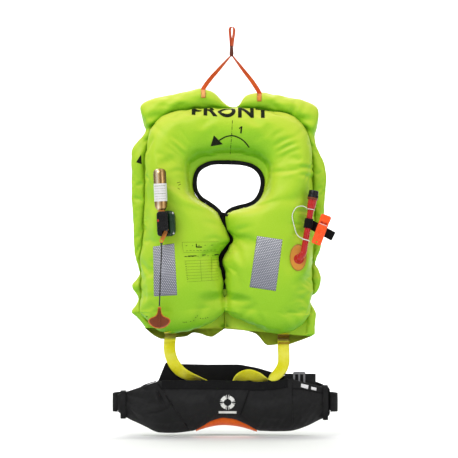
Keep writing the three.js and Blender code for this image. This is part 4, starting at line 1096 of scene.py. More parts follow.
gus = block("slit_gusset", rrect(X(220.8) * 1000, Z(305) * 1000, X(228.0) * 1000, Z(283.0) * 1000, 2.0, 4), -2.4, 0.4, LIME, 0.6, 2)
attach(gus, "jacket")
bind_l = binding("neck_binding_left", HOLE, [4.2, 4.3, 4.4, 4.3, 4.2, 4.1, 3.8], -1)
bind_r = binding("neck_binding_right", HOLE2, [3.6, 4.0, 4.2, 4.4, 4.4, 4.3, 4.2], -1)
SLIT = [(223.6, 212.5, 4.6), (222.6, 217, 4.2), (222.4, 221, 3.4), (224.2, 226, 2.2), (227.4, 231, 1.8), (230.6, 236, 2.2), (231.4, 238.8, 2.5), (229.8, 242.6, 1.9), (227.0, 247, 1.7), (224.2, 252, 2.6), (222.0, 257, 4.0), (221.4, 262, 4.6), (222.0, 267, 3.4), (222.8, 273, 2.1), (223.5, 280, 1.2), (224.2, 289.5, 0.9)]
sl = catmull(np.array(SLIT), 120)
st = np.gradient(sl[:, :2], axis=0)
st /= np.linalg.norm(st, axis=1)[:, None]
rows, uv = [], []
for i, (u, v, w) in enumerate(sl):
    nx, nz = st[i][1], -st[i][0]
    w = max(w + 2.4, 3.6) * (1.0 + 0.04 * math.sin(i * 0.7))
    ring = []
    for k, (a, y) in enumerate([(-0.5, 1.6), (-0.55, -1.0), (-0.36, -3.0), (-0.12, -3.4), (0.0, -2.2), (0.12, -3.4), (0.36, -3.2), (0.55, -1.0), (0.5, 1.6)]):
        ring.append((X(u + nx * a * w), y / 1000, Z(v + nz * a * w)))
    rows.append(ring)
    uv.append([(i * 0.0014, k * 0.0012) for k in range(9)])
slit = grid("slit_binding", rows, close_v=True, caps=True, uv=uv)
fix_normals(slit)
slit.data.materials.append(BINDING)
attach(slit, "jacket")
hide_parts("neck_binding")


# ---------------------------------------------------------------- patches and prints that lie on a surface
def patch(name, corners, nu, nv, off, thick, mat, bvh, body, rough_edge=0.0, rounded=0.0):
    """A thin closed patch on a surface: corners top left, top right, bottom right, bottom left on the grid."""
    tl, tr, br, bl = [np.array(c, float) for c in corners]
    front_rows, back_rows, uv = [], [], []
    wide, high = np.linalg.norm(tr - tl) * UNIT, np.linalg.norm(bl - tl) * UNIT
    last = -0.02
    for j in range(nv + 1):
        fr, br_, u_ = [], [], []
        for i in range(nu + 1):
            a, b = i / nu, j / nv
            p = (tl * (1 - a) + tr * a) * (1 - b) + (bl * (1 - a) + br * a) * b
            x, z = X(p[0]), Z(p[1])
            y, nrm = front_of(bvh, x, z)
            if y is None:
                y = last
            last = y
            edge = min(i, nu - i, j, nv - j) == 0
            fr.append((x, y - off / 1000 - (0.35 if edge else 1.0) * thick / 1000, z))
            br_.append((x, y + 0.0006, z))
            u_.append((a * wide, b * high))
        front_rows.append(fr)
        back_rows.append(br_)
        uv.append(u_)
    m = nu + 1
    verts = np.vstack([np.array(front_rows).reshape(-1, 3), np.array(back_rows).reshape(-1, 3)])
    k = (nv + 1) * m
    faces = []
    for j in range(nv):
        for i in range(nu):
            a = j * m + i
            faces.append((a, a + 1, a + m + 1, a + m))
            faces.append((k + a, k + a + m, k + a + m + 1, k + a + 1))
    ring = [i for i in range(m)] + [j * m + nu for j in range(1, nv + 1)] + [nv * m + i for i in range(nu - 1, -1, -1)] + [j * m for j in range(nv - 1, 0, -1)]
    for a, b in zip(ring, ring[1:] + ring[:1]):
        faces.append((a, k + a, k + b, b))
    o = make(name, verts, faces)
    uvs = np.array(uv).reshape(-1, 2)
    set_uv(o, np.vstack([uvs, uvs]))
    fix_normals(o)
    o.data.materials.append(mat)
    if body:
        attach(o, body)
    return o


tape_l = patch("reflective_left", [(153.5, 246.5), (174.7, 243.2), (177.6, 294.6), (154.4, 295.9)], 14, 30, 0.2, 0.5, SILVER, FRONT_TREE, "jacket")
tape_r = patch("reflective_right", [(256.7, 235.8), (282, 239.5), (275.4, 290.5), (249.4, 286.7)], 16, 30, 0.2, 0.5, SILVER, FRONT_TREE, "jacket")
for o, node in ((tape_l, "reflective_tape_left"), (tape_r, "reflective_tape_right")):
    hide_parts(node)


def drape(name, verts, faces, bvh, mat, body, off=0.00035):
    """A flat print given on the grid, laid on a surface. verts are u, v."""
    pts = []
    last = -0.02
    for u, v in verts:
        y, _ = front_of(bvh, X(u), Z(v))
        if y is None:
            y = last
        last = y
        pts.append((X(u), y - off, Z(v)))
    o = make(name, pts, faces)
    if sum(f.normal.y for f in o.data.polygons) > 0:
        o.data.flip_normals()
    o.data.materials.append(mat)
    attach(o, body)
    return o


def line_mesh(lines, step=1.0):
    """Strips along lines of [u, v] points: (points, width in grid units)."""
    verts, faces = [], []
    for pts, w in lines:
        p = np.asarray(pts, float)
        length = np.linalg.norm(np.diff(p, axis=0), axis=1).sum()
        q = resample(p, max(2, int(length / step) + 1))
        t = np.gradient(q, axis=0)
        t /= np.maximum(np.linalg.norm(t, axis=1)[:, None], 1e-9)
        n = np.stack([-t[:, 1], t[:, 0]], axis=1)
        k = len(verts)
        ww = np.interp(np.linspace(0, 1, len(q)), np.linspace(0, 1, np.size(w)), np.atleast_1d(w)) / 2
        for i in range(len(q)):
            verts += [tuple(q[i] - n[i] * ww[i]), tuple(q[i] + n[i] * ww[i])]
        for i in range(len(q) - 1):
            a = k + 2 * i
            faces.append((a, a + 1, a + 3, a + 2))
    return verts, faces


# direction mark: a curved arrow, a numeral and a centre line of dashes and dots
arc = catmull(np.array([(249.2, 147.8), (245.0, 142.6), (240.0, 138.8), (233.0, 136.3), (226.0, 137.2), (219.2, 140.8)]), 40)
marks = [(arc, 1.25)]
for k in range(15):
    f0 = k / 14
    marks.append(([(214.3 + 8.2 * f0, 136.2 + 8.0 * f0), (210.7, 146.6)], np.array([0.85, 0.12])))
d = 0.0
line = resample([(232.4, 121.0), (231.6, 136.0), (230.2, 154.0)], 400)
lens = [3.4, 0.9, 0.9, 0.9]
k = 0
while d < 33:
    a, b = int(d / 33 * 399), int(min(d + lens[k % 4], 33) / 33 * 399)
    if k % 2 == 0 and b > a + 2:
        marks.append((line[a:b], 0.55))
    d += lens[k % 4] + 0.0
    k += 1
marks.append(([(241.5, 127.0), (240.8, 134.0)], 1.5))
marks.append(([(241.6, 127.2), (239.0, 129.2)], 1.1))
v, f = line_mesh(marks, 0.8)
drape("direction_mark", v, f, FRONT_TREE, INK, "jacket", 0.0004)


def over_edge(name, text, u0, u1, base, size, tilt):
    """A word printed over the tube's upper edge: it keeps its height along the fabric, so its top turns out of sight."""
    cu = bpy.data.curves.new(name, "FONT")
    cu.body = text
    cu.align_x = "CENTER"
    cu.offset = 0.034
    cu.space_character = 1.12
    t = link(name, cu)
    bpy.context.view_layer.update()
    me = bpy.data.meshes.new_from_object(t.evaluated_get(bpy.context.evaluated_depsgraph_get()))
    bpy.data.objects.remove(t)
    bm = bmesh.new()
    bm.from_mesh(me)
    bmesh.ops.triangulate(bm, faces=bm.faces)
    for _ in range(5):
        long = [e for e in bm.edges if e.calc_length() > 0.06]
        if not long:
            break
        bmesh.ops.subdivide_edges(bm, edges=long, cuts=1)
        bmesh.ops.triangulate(bm, faces=bm.faces)
    bm.to_mesh(me)
    bm.free()
    c = np.array([q.co for q in me.vertices])
    lo, hi = c.min(0), c.max(0)
    a = (c[:, 0] - lo[0]) / (hi[0] - lo[0])
    h = (c[:, 1] - lo[1]) / (hi[1] - lo[1]) * size / 1000
    cols = np.linspace(0, 1, 60)
    table = []
    for q in cols:
        u = u0 + (u1 - u0) * q
        vb = base(q)
        pts = []
        for vv in np.arange(vb, vb - 16, -0.08):
            y, _ = front_of(FRONT_TREE, X(u), Z(vv))
            if y is None:
                break
            pts.append((y, Z(vv)))
        pts = np.array(pts)
        s = np.concatenate([[0], np.cumsum(np.linalg.norm(np.diff(pts, axis=0), axis=1))])
        # past the seam the print goes on straight back
        pts = np.vstack([pts, pts[-1] + (0.03, 0)])
        s = np.append(s, s[-1] + 0.03)
        table.append((s, pts))
    out = np.zeros_like(c)
    for i in range(len(c)):
        q = a[i] * 59
        j = min(int(q), 58)
        w = q - j
        p = 0
        for jj, ww in ((j, 1 - w), (j + 1, w)):
            s, pts = table[jj]
            p = p + ww * np.array([np.interp(h[i], s, pts[:, 0]), np.interp(h[i], s, pts[:, 1])])
        out[i] = (X(u0 + (u1 - u0) * a[i]), p[0] - 0.0005, p[1] + 0.0004)
    me.vertices.foreach_set("co", out.astype(np.float32).ravel())
    me.update()
    keep = out[:, 1] < -0.0015
    bm = bmesh.new()
    bm.from_mesh(me)
    bm.verts.ensure_lookup_table()
    bmesh.ops.delete(bm, geom=[bm.verts[i] for i in np.nonzero(~keep)[0]], context="VERTS")
    bmesh.ops.recalc_face_normals(bm, faces=bm.faces)
    bm.to_mesh(me)
    bm.free()
    me.materials.clear()
    o = link(name, me)
    if sum(f.normal.y for f in me.polygons) > 0:
        me.flip_normals()
    me.materials.append(INK)
    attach(o, "jacket")
    return o


over_edge("front_word", "FRONT", 191.8, 269.8, lambda q: 115.2 + 1.8 * math.sin(q * math.pi) + 3.4 * q**1.5, 37.0, 0)

# inspection table: a frame, a heading rule, and empty rows, with short dashes where the writing would be
tl, tr, bl, br = np.array((182.6, 242.2)), np.array((219.6, 241.6)), np.array((187.2, 281.5)), np.array((219.0, 279.6))


def at(a, b):
    return (tl * (1 - a) + tr * a) * (1 - b) + (bl * (1 - a) + br * a) * b


rule = []
for b0 in (0.0, 0.26, 0.47, 0.545, 0.62, 0.695, 0.77, 0.845, 0.92, 1.0):
    rule.append(([at(0.0 if b0 > 0.44 else 0.0, b0), at(0.98, b0)], 0.22))
for a0, b0 in ((0.0, 0.0), (0.46, 0.47), (0.78, 0.40)):
    rule.append(([at(a0, b0), at(a0, 1.0 if a0 else 0.24)], 0.22))
rng = np.random.default_rng(4)
for b0, n, h in ((0.085, 5, 0.5), (0.215, 9, 0.45), (0.36, 6, 0.4)):
    for k in range(n):
        a0 = 0.08 + 0.86 * k / n
        rule.append(([at(a0, b0 + rng.uniform(-0.006, 0.006)), at(a0 + rng.uniform(0.03, 0.07), b0)], h))
for k in range(9):
    rule.append(([at(0.01, 0.50 + k * 0.055), at(0.05, 0.50 + k * 0.055)], 0.4))
v, f = line_mesh(rule, 1.2)
drape("inspection_table", v, f, FRONT_TREE, FAINT, "jacket", 0.0003)
head = [(([at(0.02 + 0.1 * k, 0.36), at(0.02 + 0.1 * k + 0.06, 0.36)]), 0.7) for k in range(3)] + [([at(0.52, 0.335), at(0.62, 0.335)], 0.7), ([at(0.86, 0.345), at(0.98, 0.34)], 1.1), ([at(0.12, 0.35), at(0.36, 0.35)], 0.8)]
v, f = line_mesh(head, 0.7)
drape("inspection_heading", v, f, FRONT_TREE, INK, "jacket", 0.0004)
v, f = line_mesh([([(196.6, 243.6), (196.6, 247.0)], 0.9), ([(196.4, 246.8), (202.2, 246.9)], 1.1)], 0.6)
drape("inspection_mark", v, f, FRONT_TREE, INK, "jacket", 0.0004)
class Both:
    def ray_cast(self, o, d):
        a, b = FRONT_TREE.ray_cast(o, d), REAR_TREE.ray_cast(o, d)
        if a[0] is None:
            return b
        if b[0] is None:
            return a
        return a if a[0].y < b[0].y else b


BOTH = Both()
# a small triangle on the border at the left, and worn marks
v, f = line_mesh([([(136.2 + 0.36 * k, 162.2 + 0.12 * k), (140.9, 154.4)], np.array([0.6, 0.15])) for k in range(15)] + [([(177.4, 183.2), (180.6, 182.2)], 0.5), ([(178.6, 185.6), (181.0, 184.4)], 0.5), ([(178.0, 188.2), (180.2, 189.6)], 0.4), ([(140.6, 288.8), (142.4, 290.0)], 0.8)], 0.7)
drape("border_triangle", v, f, BOTH, INK, "jacket", 0.0004)
dots = []
for u0, v0 in ((141.5, 314.6), (143.2, 316.2), (146.2, 316.6), (147.0, 316.4), (183, 329.2), (184.6, 329.4), (186.2, 329.3), (190.5, 328.6), (193.6, 327.8), (195.6, 324.6), (197.2, 323.0), (200.2, 325.6), (202.6, 325.8), (205.2, 325.4), (207.4, 324.9)):
    dots.append(([(u0, v0 - (7.5 if v0 > 320 else 0)), (u0 + 0.8, v0 - 0.1 - (7.5 if v0 > 320 else 0))], 0.7))
v, f = line_mesh(dots, 0.5)
drape("edge_dots", v, f, BOTH, INK, "jacket", 0.0004)


# ---------------------------------------------------------------- hanging tape
def tape_route(points, n=60):
    c = catmull(points, n)
    return c


def over_rear(u, v, off):
    y, _ = front_of(REAR_TREE, X(u), Z(v))
    return (y if y is not None else -0.003) * 1000 - off


def hang(name, start, mid, top_u, top_v, end_v, sgn):
    x0, z0 = start
    e = [X(top_u) * 1000, Z(top_v) * 1000]
    f = [X(top_u) * 1000 - sgn * 0.3, Z(end_v) * 1000]
    y1, y2 = over_rear(top_u, top_v + 1.0, 1.4), over_rear(top_u, end_v, 1.2)
    ym = over_rear(top_u, (top_v + end_v) / 2 + 0.6, 1.3)
    pts = [[x0, 0, z0, sgn * 0.3, 0.95, 0]]
    for k in (0.25, 0.5, 0.75):
        pts.append([x0 + (e[0] - x0) * k, (y1 + 0.4) * k**2.2, z0 + (e[1] + 3 - z0) * k, sgn * (0.36 + 0.56 * k), 0.9 - 0.72 * k, -0.62 * k])
    pts.append([e[0], y1, e[1] - 1, sgn, 0.05, -0.3])
    pts.append([(e[0] + f[0]) / 2, ym, (e[1] + f[1]) / 2, sgn, 0, 0.1])
    pts.append([f[0], y2, f[1], sgn, 0, 0])
    o = strap(name, pts, 9.0, 1.2, 60, TAPE_ORANGE, "jacket", 0.3)
    c = catmull(pts, 60)[:, :3] / 1000
    return o, c


hl, hl_path = hang("hang_tape_left_webbing", (-2.6, -59.6), None, 203.4, 87.4, 97.5, 1)
hr, hr_path = hang("hang_tape_right_webbing", (0.8, -59.6), None, 259.2, 91.2, 101.0, -1)
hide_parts("hang_tape_left")
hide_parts("hang_tape_right")
loop_pts = [
    [-2.2, 0, -40.5, 0.55, 0.83, 0], [-2.5, 0, -30, 0.55, 0.83, 0], [-4.0, 0, -14, 0.55, 0.83, 0], [-4.5, 0, -6.5, 0.55, 0.83, 0], [-2.9, 0, -1.9, 0.55, 0.83, 0], [0, 0, -0.7, 0.55, 0.83, 0],
    [2.9, 0, -1.9, 0.55, 0.83, 0], [4.5, 0, -6.5, 0.55, 0.83, 0], [3.9, 0, -14, 0.55, 0.83, 0], [1.6, 0, -30, 0.55, 0.83, 0], [0.5, 0, -40.5, 0.55, 0.83, 0]]
loop = strap("hang_loop_webbing", loop_pts, 9.0, 1.2, 90, TAPE_ORANGE, "jacket", 0.3)
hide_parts("hang_loop")
# the sleeve that holds the two legs together: shrunk flat on the tape, open at its ends
rows, uv = [], []
for k, (z, a, b) in enumerate([(-40.0, 2.2, 4.4), (-39.4, 3.1, 5.0), (-42, 3.4, 5.1), (-46, 3.7, 5.2), (-50, 4.1, 5.3), (-54, 4.4, 5.3), (-58, 4.1, 5.2), (-60.6, 3.7, 5.0), (-60.0, 2.6, 4.4)]):
    ring = []
    for j in range(28):
        t = 2 * math.pi * j / 28
        r = 1 + 0.03 * math.sin(5 * t + z)
        ring.append(((-1 + a * r * math.cos(t)) / 1000, b * r * math.sin(t) / 1000, z / 1000))
    rows.append(ring)
    uv.append([(z / 1000, j * 0.001) for j in range(28)])
sleeve = grid("hang_sleeve", rows, close_v=True, caps=True, uv=uv)
fix_normals(sleeve)
sleeve.data.materials.append(SLEEVE)
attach(sleeve, "jacket")
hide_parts("hang_knot")


def length_of(p):
    p = np.asarray(p, float)
    return float(np.linalg.norm(np.diff(p, axis=0), axis=1).sum())


def stitches(name, line, bvh, mat, body, pitch=1.35, length=0.9, width=0.34, off=0.0006):
    """Small raised stitches along a line on the grid."""
    q = resample(np.asarray(line, float), 400)
    total = np.linalg.norm(np.diff(q, axis=0), axis=1).sum()
    n = max(2, int(total / pitch))
    bm = bmesh.new()
    for k in range(n):
        i = int((k + 0.5) / n * 399)
        p = q[i]
        t = q[min(i + 2, 399)] - q[max(i - 2, 0)]
        t /= max(np.linalg.norm(t), 1e-9)
        y, _ = front_of(bvh, X(p[0]), Z(p[1]))
        if y is None:
            continue
        m = Matrix.Translation((X(p[0]), y - off, Z(p[1]))) @ Matrix.Rotation(math.atan2(t[1], t[0]), 4, "Y") @ Matrix.Diagonal((length * UNIT / 2, width * UNIT * 0.6, width * UNIT / 2, 1))
        bmesh.ops.create_uvsphere(bm, u_segments=8, v_segments=5, radius=1, matrix=m)
    me = bpy.data.meshes.new(name)
    bm.to_mesh(me)
    bm.free()
    me.polygons.foreach_set("use_smooth", [True] * len(me.polygons))
    o = link(name, me)
    o.data.materials.append(mat)
    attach(o, body)
    return o


THREAD_ORANGE = webbing("orange_thread", (0.75, 0.12, 0.02), (0.9, 0.3, 0.1), 0.5, 0.3, 0.0004)
THREAD_PALE = webbing("pale_thread", (0.95, 0.62, 0.25), (1.0, 0.8, 0.5), 0.5, 0.3, 0.0004)
THREAD_BLACK = webbing("black_thread", (0.02, 0.02, 0.02), (0.10, 0.10, 0.10), 0.5, 0.3, 0.0004)
THREAD_YELLOW = webbing("yellow_thread", (0.55, 0.42, 0.01), (0.8, 0.7, 0.1), 0.5, 0.3, 0.0004)
for o, cu, v0, v1 in ((hl, 203.2, 89.4, 97.2), (hr, 259.4, 93.4, 100.8)):
    bv = tree(o)
    a = 1.7
    tab = patch(o.name.replace("webbing", "tab"), [(cu - 2.1, v0 - 0.2), (cu + 2.1, v0 - 0.2), (cu + 2.1, v1 - 0.1), (cu - 2.1, v1 - 0.1)], 5, 7, 0.05, 0.35, TAPE_TAB, bv, "jacket")
    bv = tree(tab)
    stitches(o.name.replace("webbing", "stitching"), [(cu - a, v0), (cu + a, v0), (cu + a, v1), (cu - a, v1), (cu - a, v0)], bv, THREAD_PALE, "jacket", 0.62, 0.5, 0.2, 0.0003)


# ---------------------------------------------------------------- cords: pull line and whistle lanyard
def cord_curve(name, points, radius, mat, n=40):
    p = resample(catmull(points, 200), n)
    cu = bpy.data.curves.new(name, "CURVE")
    cu.dimensions = "3D"
    sp = cu.splines.new("POLY")
    sp.points.add(n - 1)
    for q, c in zip(sp.points, p):
        q.co = (*c, 1)
    cu.bevel_depth = radius
    cu.bevel_resolution = 3
    cu.use_fill_caps = True
    o = link(name, cu)
    o.data.materials.append(mat)
    return o, length_of(p), p


TIP = (-142.74, -439.95)


def cord_braid(name, base, light_c, pitch):
    M = Mat(name)
    s = M.sep(M.co)
    k = math.pi / pitch
    a = M.math("ABSOLUTE", M.math("SINE", M.math("MULTIPLY", M.math("ADD", s[2], M.math("MULTIPLY", s[0], 1.0)), k)))
    b = M.math("ABSOLUTE", M.math("SINE", M.math("MULTIPLY", M.math("SUBTRACT", s[2], M.math("MULTIPLY", s[0], 1.0)), k)))
    h = M.math("MAXIMUM", a, b)
    # painted shade: the braid's colour darkens where its height is low, between the strands
    M.set(color=M.mix(h, tuple(c * 0.5 for c in base), M.mix(M.range(M.noise(200, 3), 0.4, 0.7, 0, 0.5), base, light_c)), rough=0.62, sheen=0.3, sheen_rough=0.4)
    M.bump(h, 0.0003, 0.8)
    return M.m


BLACK_BRAID = cord_braid("black_braid", (0.012, 0.012, 0.013), (0.06, 0.06, 0.06), 0.0016)
WHITE_BRAID = cord_braid("white_braid", (0.80, 0.81, 0.74), (0.95, 0.95, 0.92), 0.0011)
pull = [(TIP[0], -83, TIP[1] - 4.8), (TIP[0] + 0.1, -83, TIP[1] - 25), (TIP[0] - 1.6, -83, TIP[1] - 60), (TIP[0] - 2.8, -83, TIP[1] - 95), (TIP[0] - 4.2, -83, -572.0)]
pull_cord, pull_len, pull_path = cord_curve("pull_line_cord", np.array(pull) / 1000, 0.00145, BLACK_BRAID, 30)
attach(pull_cord, "pull_line")
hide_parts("pull_cord")
lany = [(152.1, -64.5, -373.5), (146.6, -64.5, -370.6), (140.6, -64, -369.4), (131.2, -63, -372.1), (124.6, -62.5, -381.1), (122.2, -62.5, -391.3), (124.0, -62.5, -400.4),
        (127.1, -62.8, -413.1), (130.4, -64, -424.3), (135.9, -67.5, -431.7), (141.7, -75.4, -435.0), (149.0, -78.1, -437.9), (155.2, -76.2, -439.9), (157.6, -71.5, -441.6)]
lanyard, lany_len, lany_path = cord_curve("whistle_cord", np.array(lany) / 1000, 0.0009, WHITE_BRAID, 46)
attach(lanyard, "oral_tube")
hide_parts("whistle_lanyard")


# ---------------------------------------------------------------- waist pouch
POUCH_Y, SHELL, REAR_T = -19.3, 3.0, 7.0
RY = POUCH_Y + REAR_T
STATIONS = np.array([
    [-233.7, -754.4, -790.3, 12], [-221.4, -750.3, -799.5, 15], [-202.9, -744.8, -809.7, 20], [-183.5, -738.0, -816.9, 28], [-164.0, -730.8, -828.2, 36],
    [-151.7, -726.7, -832.7, 40], [-135.3, -724.9, -833.5, 43], [-114.8, -724.9, -833.5, 45], [-94.3, -724.9, -831.3, 47], [-79.9, -724.9, -828.8, 48],
    [-63.5, -724.9, -820.0, 48], [-43.0, -724.9, -806.9, 49], [-20.5, -724.9, -799.9, 50], [6.1, -725.3, -803.2, 50], [30.7, -726.3, -814.5, 49],
    [55.3, -727.7, -828.8, 48], [82.0, -726.7, -830.2, 46], [102.5, -723.6, -830.2, 43], [120.9, -720.6, -829.6, 40], [139.4, -726.9, -825.1, 36],
    [157.8, -731.0, -817.9, 30], [178.3, -737.0, -807.3, 22], [196.8, -741.1, -799.5, 14]])
_fx = np.linspace(-233.7, 196.8, 900)
_k = np.exp(-0.5 * (np.arange(-24, 25) / 8.0) ** 2)
_k /= _k.sum()
_tab = [np.convolve(np.pad(np.interp(_fx, STATIONS[:, 0], STATIONS[:, c]), 24, mode="reflect", reflect_type="odd"), _k, "valid") for c in (1, 2, 3)]
_bul = catmull(np.array([[0, 0.78], [0.2, 0.93], [0.45, 1], [0.7, 0.86], [0.88, 0.52], [1, 0.16]]), 80)
_arc = catmull(np.array([[0, 0.78], [0.2, 0.93], [0.45, 1], [0.7, 0.94], [0.88, 0.8], [1, 0.62]]), 80)


def g2(line):
    return catmull(grid_to_m(np.array(line)), 24)


# lines on the grid, outward height in mm (negative is a groove), half width in mm
POUCH_FOLDS = [(g2(l), h, w) for l, h, w in (
    ([(144.8, 412.6), (156, 411), (166, 408.4), (171, 402)], -4.6, 3.6), ([(144.8, 408.6), (156, 406.6), (164, 404.4), (169, 399)], 3.4, 5.0),
    ([(157.4, 388.5), (161, 395), (165, 403), (167, 406)], -4.2, 3.2), ([(161.5, 387.5), (165.2, 394), (169, 401)], 3.8, 4.0), ([(155, 391), (158.5, 398), (160.5, 404)], 2.6, 4.0),
    ([(128, 394), (136, 396), (146, 397.5), (154, 396)], -1.9, 3.2), ([(129, 398), (138, 401), (147, 403.5)], 2.2, 3.6), ([(128.5, 401.5), (137, 406), (145, 410)], -2.4, 3.0),
    ([(128.5, 404.5), (136, 411), (143, 415)], 2.3, 3.2), ([(129, 407.5), (134, 413.5), (139, 418)], -1.9, 2.6), ([(131, 391.5), (140, 391.6), (150, 390)], 1.8, 3.0),
    ([(141, 386.5), (147, 389.0), (154, 388.0)], -1.7, 2.6), ([(143, 401), (150, 402.4), (158, 400)], -1.8, 3.0),
    ([(176, 389), (190, 394), (206, 392)], -2.6, 7.0), ([(178, 399), (192, 402), (206, 399)], 3.0, 8.0), ([(172, 392), (181, 401), (190, 411)], -1.5, 4.0),
    ([(205, 391), (211, 399), (212, 409)], -1.8, 5.0), ([(246, 392), (262, 399), (281, 396)], -2.8, 6.5), ([(252, 405), (272, 407), (292, 401)], 2.8, 9.0),
    ([(268, 389), (276, 396), (289, 399)], -2.0, 3.8), ([(283, 391), (298, 397), (316, 398)], -1.8, 4.6), ([(300, 392), (312, 402), (322, 404)], 1.8, 6.0),
    ([(255, 417), (275, 420), (298, 417)], -2.0, 5.0), ([(300, 410), (312, 407), (324, 402)], -1.6, 4.0), ([(150, 420), (166, 421), (180, 419)], 1.9, 5.0),
    ([(292.0, 379), (292.6, 392), (292.0, 406)], -1.2, 2.6), ([(186, 425), (198, 415), (212, 410)], -1.3, 3.4), ([(256, 428), (247, 418), (240, 413)], -1.2, 3.4),
)]
SEAM_L = np.array([(157.8, 381.0), (168.0, 396.6), (187.0, 424.6), (191.0, 431.0)])


def seam_left(z_mm):
    """The left seam runs aslant: its x at a height."""
    v = -z_mm / 2.05 + 26
    return (np.interp(v, SEAM_L[:, 1], SEAM_L[:, 0]) - 232) * 2.05


_gx, _gt = np.linspace(-233.7, 196.8, 520), np.linspace(0, 1, 70)


def pouch_field():
    xx, tt = np.meshgrid(_gx, _gt, indexing="ij")
    top, low, gap = (np.interp(xx, _fx, c) for c in _tab)
    z = top + (low - top) * tt
    arch = smooth01((xx + 92.2) / 26.6) * (1 - smooth01((xx - 41.0) / 26.6))
    b = np.interp(tt, _bul[:, 0], _bul[:, 1]) * (1 - arch) + np.interp(tt, _arc[:, 0], _arc[:, 1]) * arch
    q = np.stack([xx.ravel(), z.ravel()], axis=1) / 1000
    d = np.zeros(xx.size)
    for m, h, w in POUCH_FOLDS:
        dist, at_ = seg_distance(q, m)
        d += h * np.exp(-((dist * 1000 / w) ** 2)) * np.sin(np.pi * np.clip(0.08 + at_ * 0.84, 0, 1)) ** 0.7
    d = d.reshape(xx.shape)
    d += 0.5 * np.sin(xx * 0.21 + z * 0.13) * np.sin(z * 0.19 - xx * 0.06) + 0.35 * np.sin(xx * 0.47 - z * 0.31)
    lim = np.minimum(1.0, np.minimum(tt / 0.08, (1 - tt) / 0.05)) * smooth01((xx + 233.7) / 8) * smooth01((196.8 - xx) / 8)
    return POUCH_Y - 0.4 - SHELL - (gap - SHELL) * b - d * lim, z


_fy, _fz = pouch_field()


def pouch_point(x, t):
    i = min(max((x + 233.7) / 430.5 * 519, 0), 518.999)
    j = min(max(t * 69, 0), 68.999)
    a, b = int(i), int(j)
    p, q = i - a, j - b
    y = (_fy[a, b] * (1 - p) + _fy[a + 1, b] * p) * (1 - q) + (_fy[a, b + 1] * (1 - p) + _fy[a + 1, b + 1] * p) * q
    z = (_fz[a, b] * (1 - p) + _fz[a + 1, b] * p) * (1 - q) + (_fz[a, b + 1] * (1 - p) + _fz[a + 1, b + 1] * p) * q
    return x, float(y), float(z)


def pouch_piece(name, xa, xb, nx, nt, mat, round_top=1.2):
    """xa and xb give the edge's x from the height; the piece is a closed shell, thinner at its edges."""
    rows, uv = [], []
    for i in range(nx + 1):
        fr, bk, uf = [], [], []
        for j in range(nt + 1):
            t = j / nt
            x = -100.0
            s = i / nx
            z = -725 - 105 * t
            for _ in range(3):
                x = xa(z) + (xb(z) - xa(z)) * s
                z = pouch_z(x, t)
            _, y, z = pouch_point(x, t)
            edge = 1 - min(1.0, min(j, nt - j) / 2.0)
            fr.append((x / 1000, (y + 1.2 * edge) / 1000, z / 1000))
            bk.append((x / 1000, min(y + SHELL - 0.8 * edge, POUCH_Y - 0.3) / 1000, z / 1000))
            uf.append((x / 1000, z / 1000))
        rows.append(fr + bk[::-1])
        uv.append(uf + uf[::-1])
    o = grid(name, rows, close_v=True, caps=True, uv=uv)
    fix_normals(o)
    o.data.materials.append(mat)
    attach(o, "pouch")
    return o


def pouch_z(x, t):
    return np.interp(x, _fx, _tab[0]) * (1 - t) + np.interp(x, _fx, _tab[1]) * t


RIGHT_SEAM = 123.0
wing_l = pouch_piece("pouch_wing_left", lambda z: -233.7, lambda z: float(seam_left(z)) - 0.3, 76, 44, POUCH)
panel = pouch_piece("pouch_front", lambda z: float(seam_left(z)) + 0.3, lambda z: RIGHT_SEAM - 0.2, 150, 44, POUCH)
wing_r = pouch_piece("pouch_wing_right", lambda z: RIGHT_SEAM + 0.2, lambda z: 196.8, 60, 44, POUCH)
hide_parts("pouch_left_wing")
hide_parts("pouch_front_panel")
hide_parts("pouch_right_wing")
PANEL_TREE, WING_L_TREE, WING_R_TREE = tree(panel), tree(wing_l), tree(wing_r)


def pouch_front_at(x, z):
    best = None
    for b in (PANEL_TREE, WING_L_TREE, WING_R_TREE):
        y, n = front_of(b, x, z)
        if y is not None and (best is None or y < best):
            best = y
    return best


class AllPouch:
    def ray_cast(self, o, d):
        y = pouch_front_at(o.x, o.z)
        return (Vector((o.x, y, o.z)), Vector((0, -1, 0))) if y is not None else (None, None)


POUCH_TREE = AllPouch()

# top hem: a folded band over the front panel's edge
rows, uv = [], []
xs = np.linspace(-143, 113, 170)
for x in xs:
    top = np.interp(x, _fx, _tab[0])
    r = []
    for a, off in ((17.0, 0.2), (16.6, 1.3), (15.6, 1.7), (12, 1.8), (8, 2.0), (4, 2.3), (1.0, 2.6), (-0.4, 1.6), (-0.9, -0.6), (-0.6, -2.8), (0.6, -4.0), (3.0, -4.3)):
        z = top - max(a, 1.2)
        y = pouch_front_at(x / 1000, z / 1000)
        y = (y * 1000 if y is not None else POUCH_Y - 30)
        w = 0.35 * math.sin(x * 0.33 + a * 0.2) + 0.2 * math.sin(x * 0.71)
        r.append((x / 1000, (y - off + (w if off > 0 else 0)) / 1000, (top - a + 0.25 * math.sin(x * 0.12)) / 1000))
    inner = [(p[0], p[1] + 0.0009, p[2] + (-0.0007 if k > 5 else 0)) for k, p in enumerate(r)]
    rows.append(r + inner[::-1])
    uv.append([(x / 1000, k * 0.002) for k in range(24)])
hem = grid("pouch_top_hem", rows, close_v=True, caps=True, uv=uv)
fix_normals(hem)
hem.data.materials.append(POUCH_BACK)
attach(hem, "pouch")
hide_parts("pouch_hem")


def on_pouch(line, n, off):
    q = resample(catmull(np.array(line, float), 60), n)
    return np.array([(X(u), (pouch_front_at(X(u), Z(v)) or -0.05) - off, Z(v)) for u, v in q])


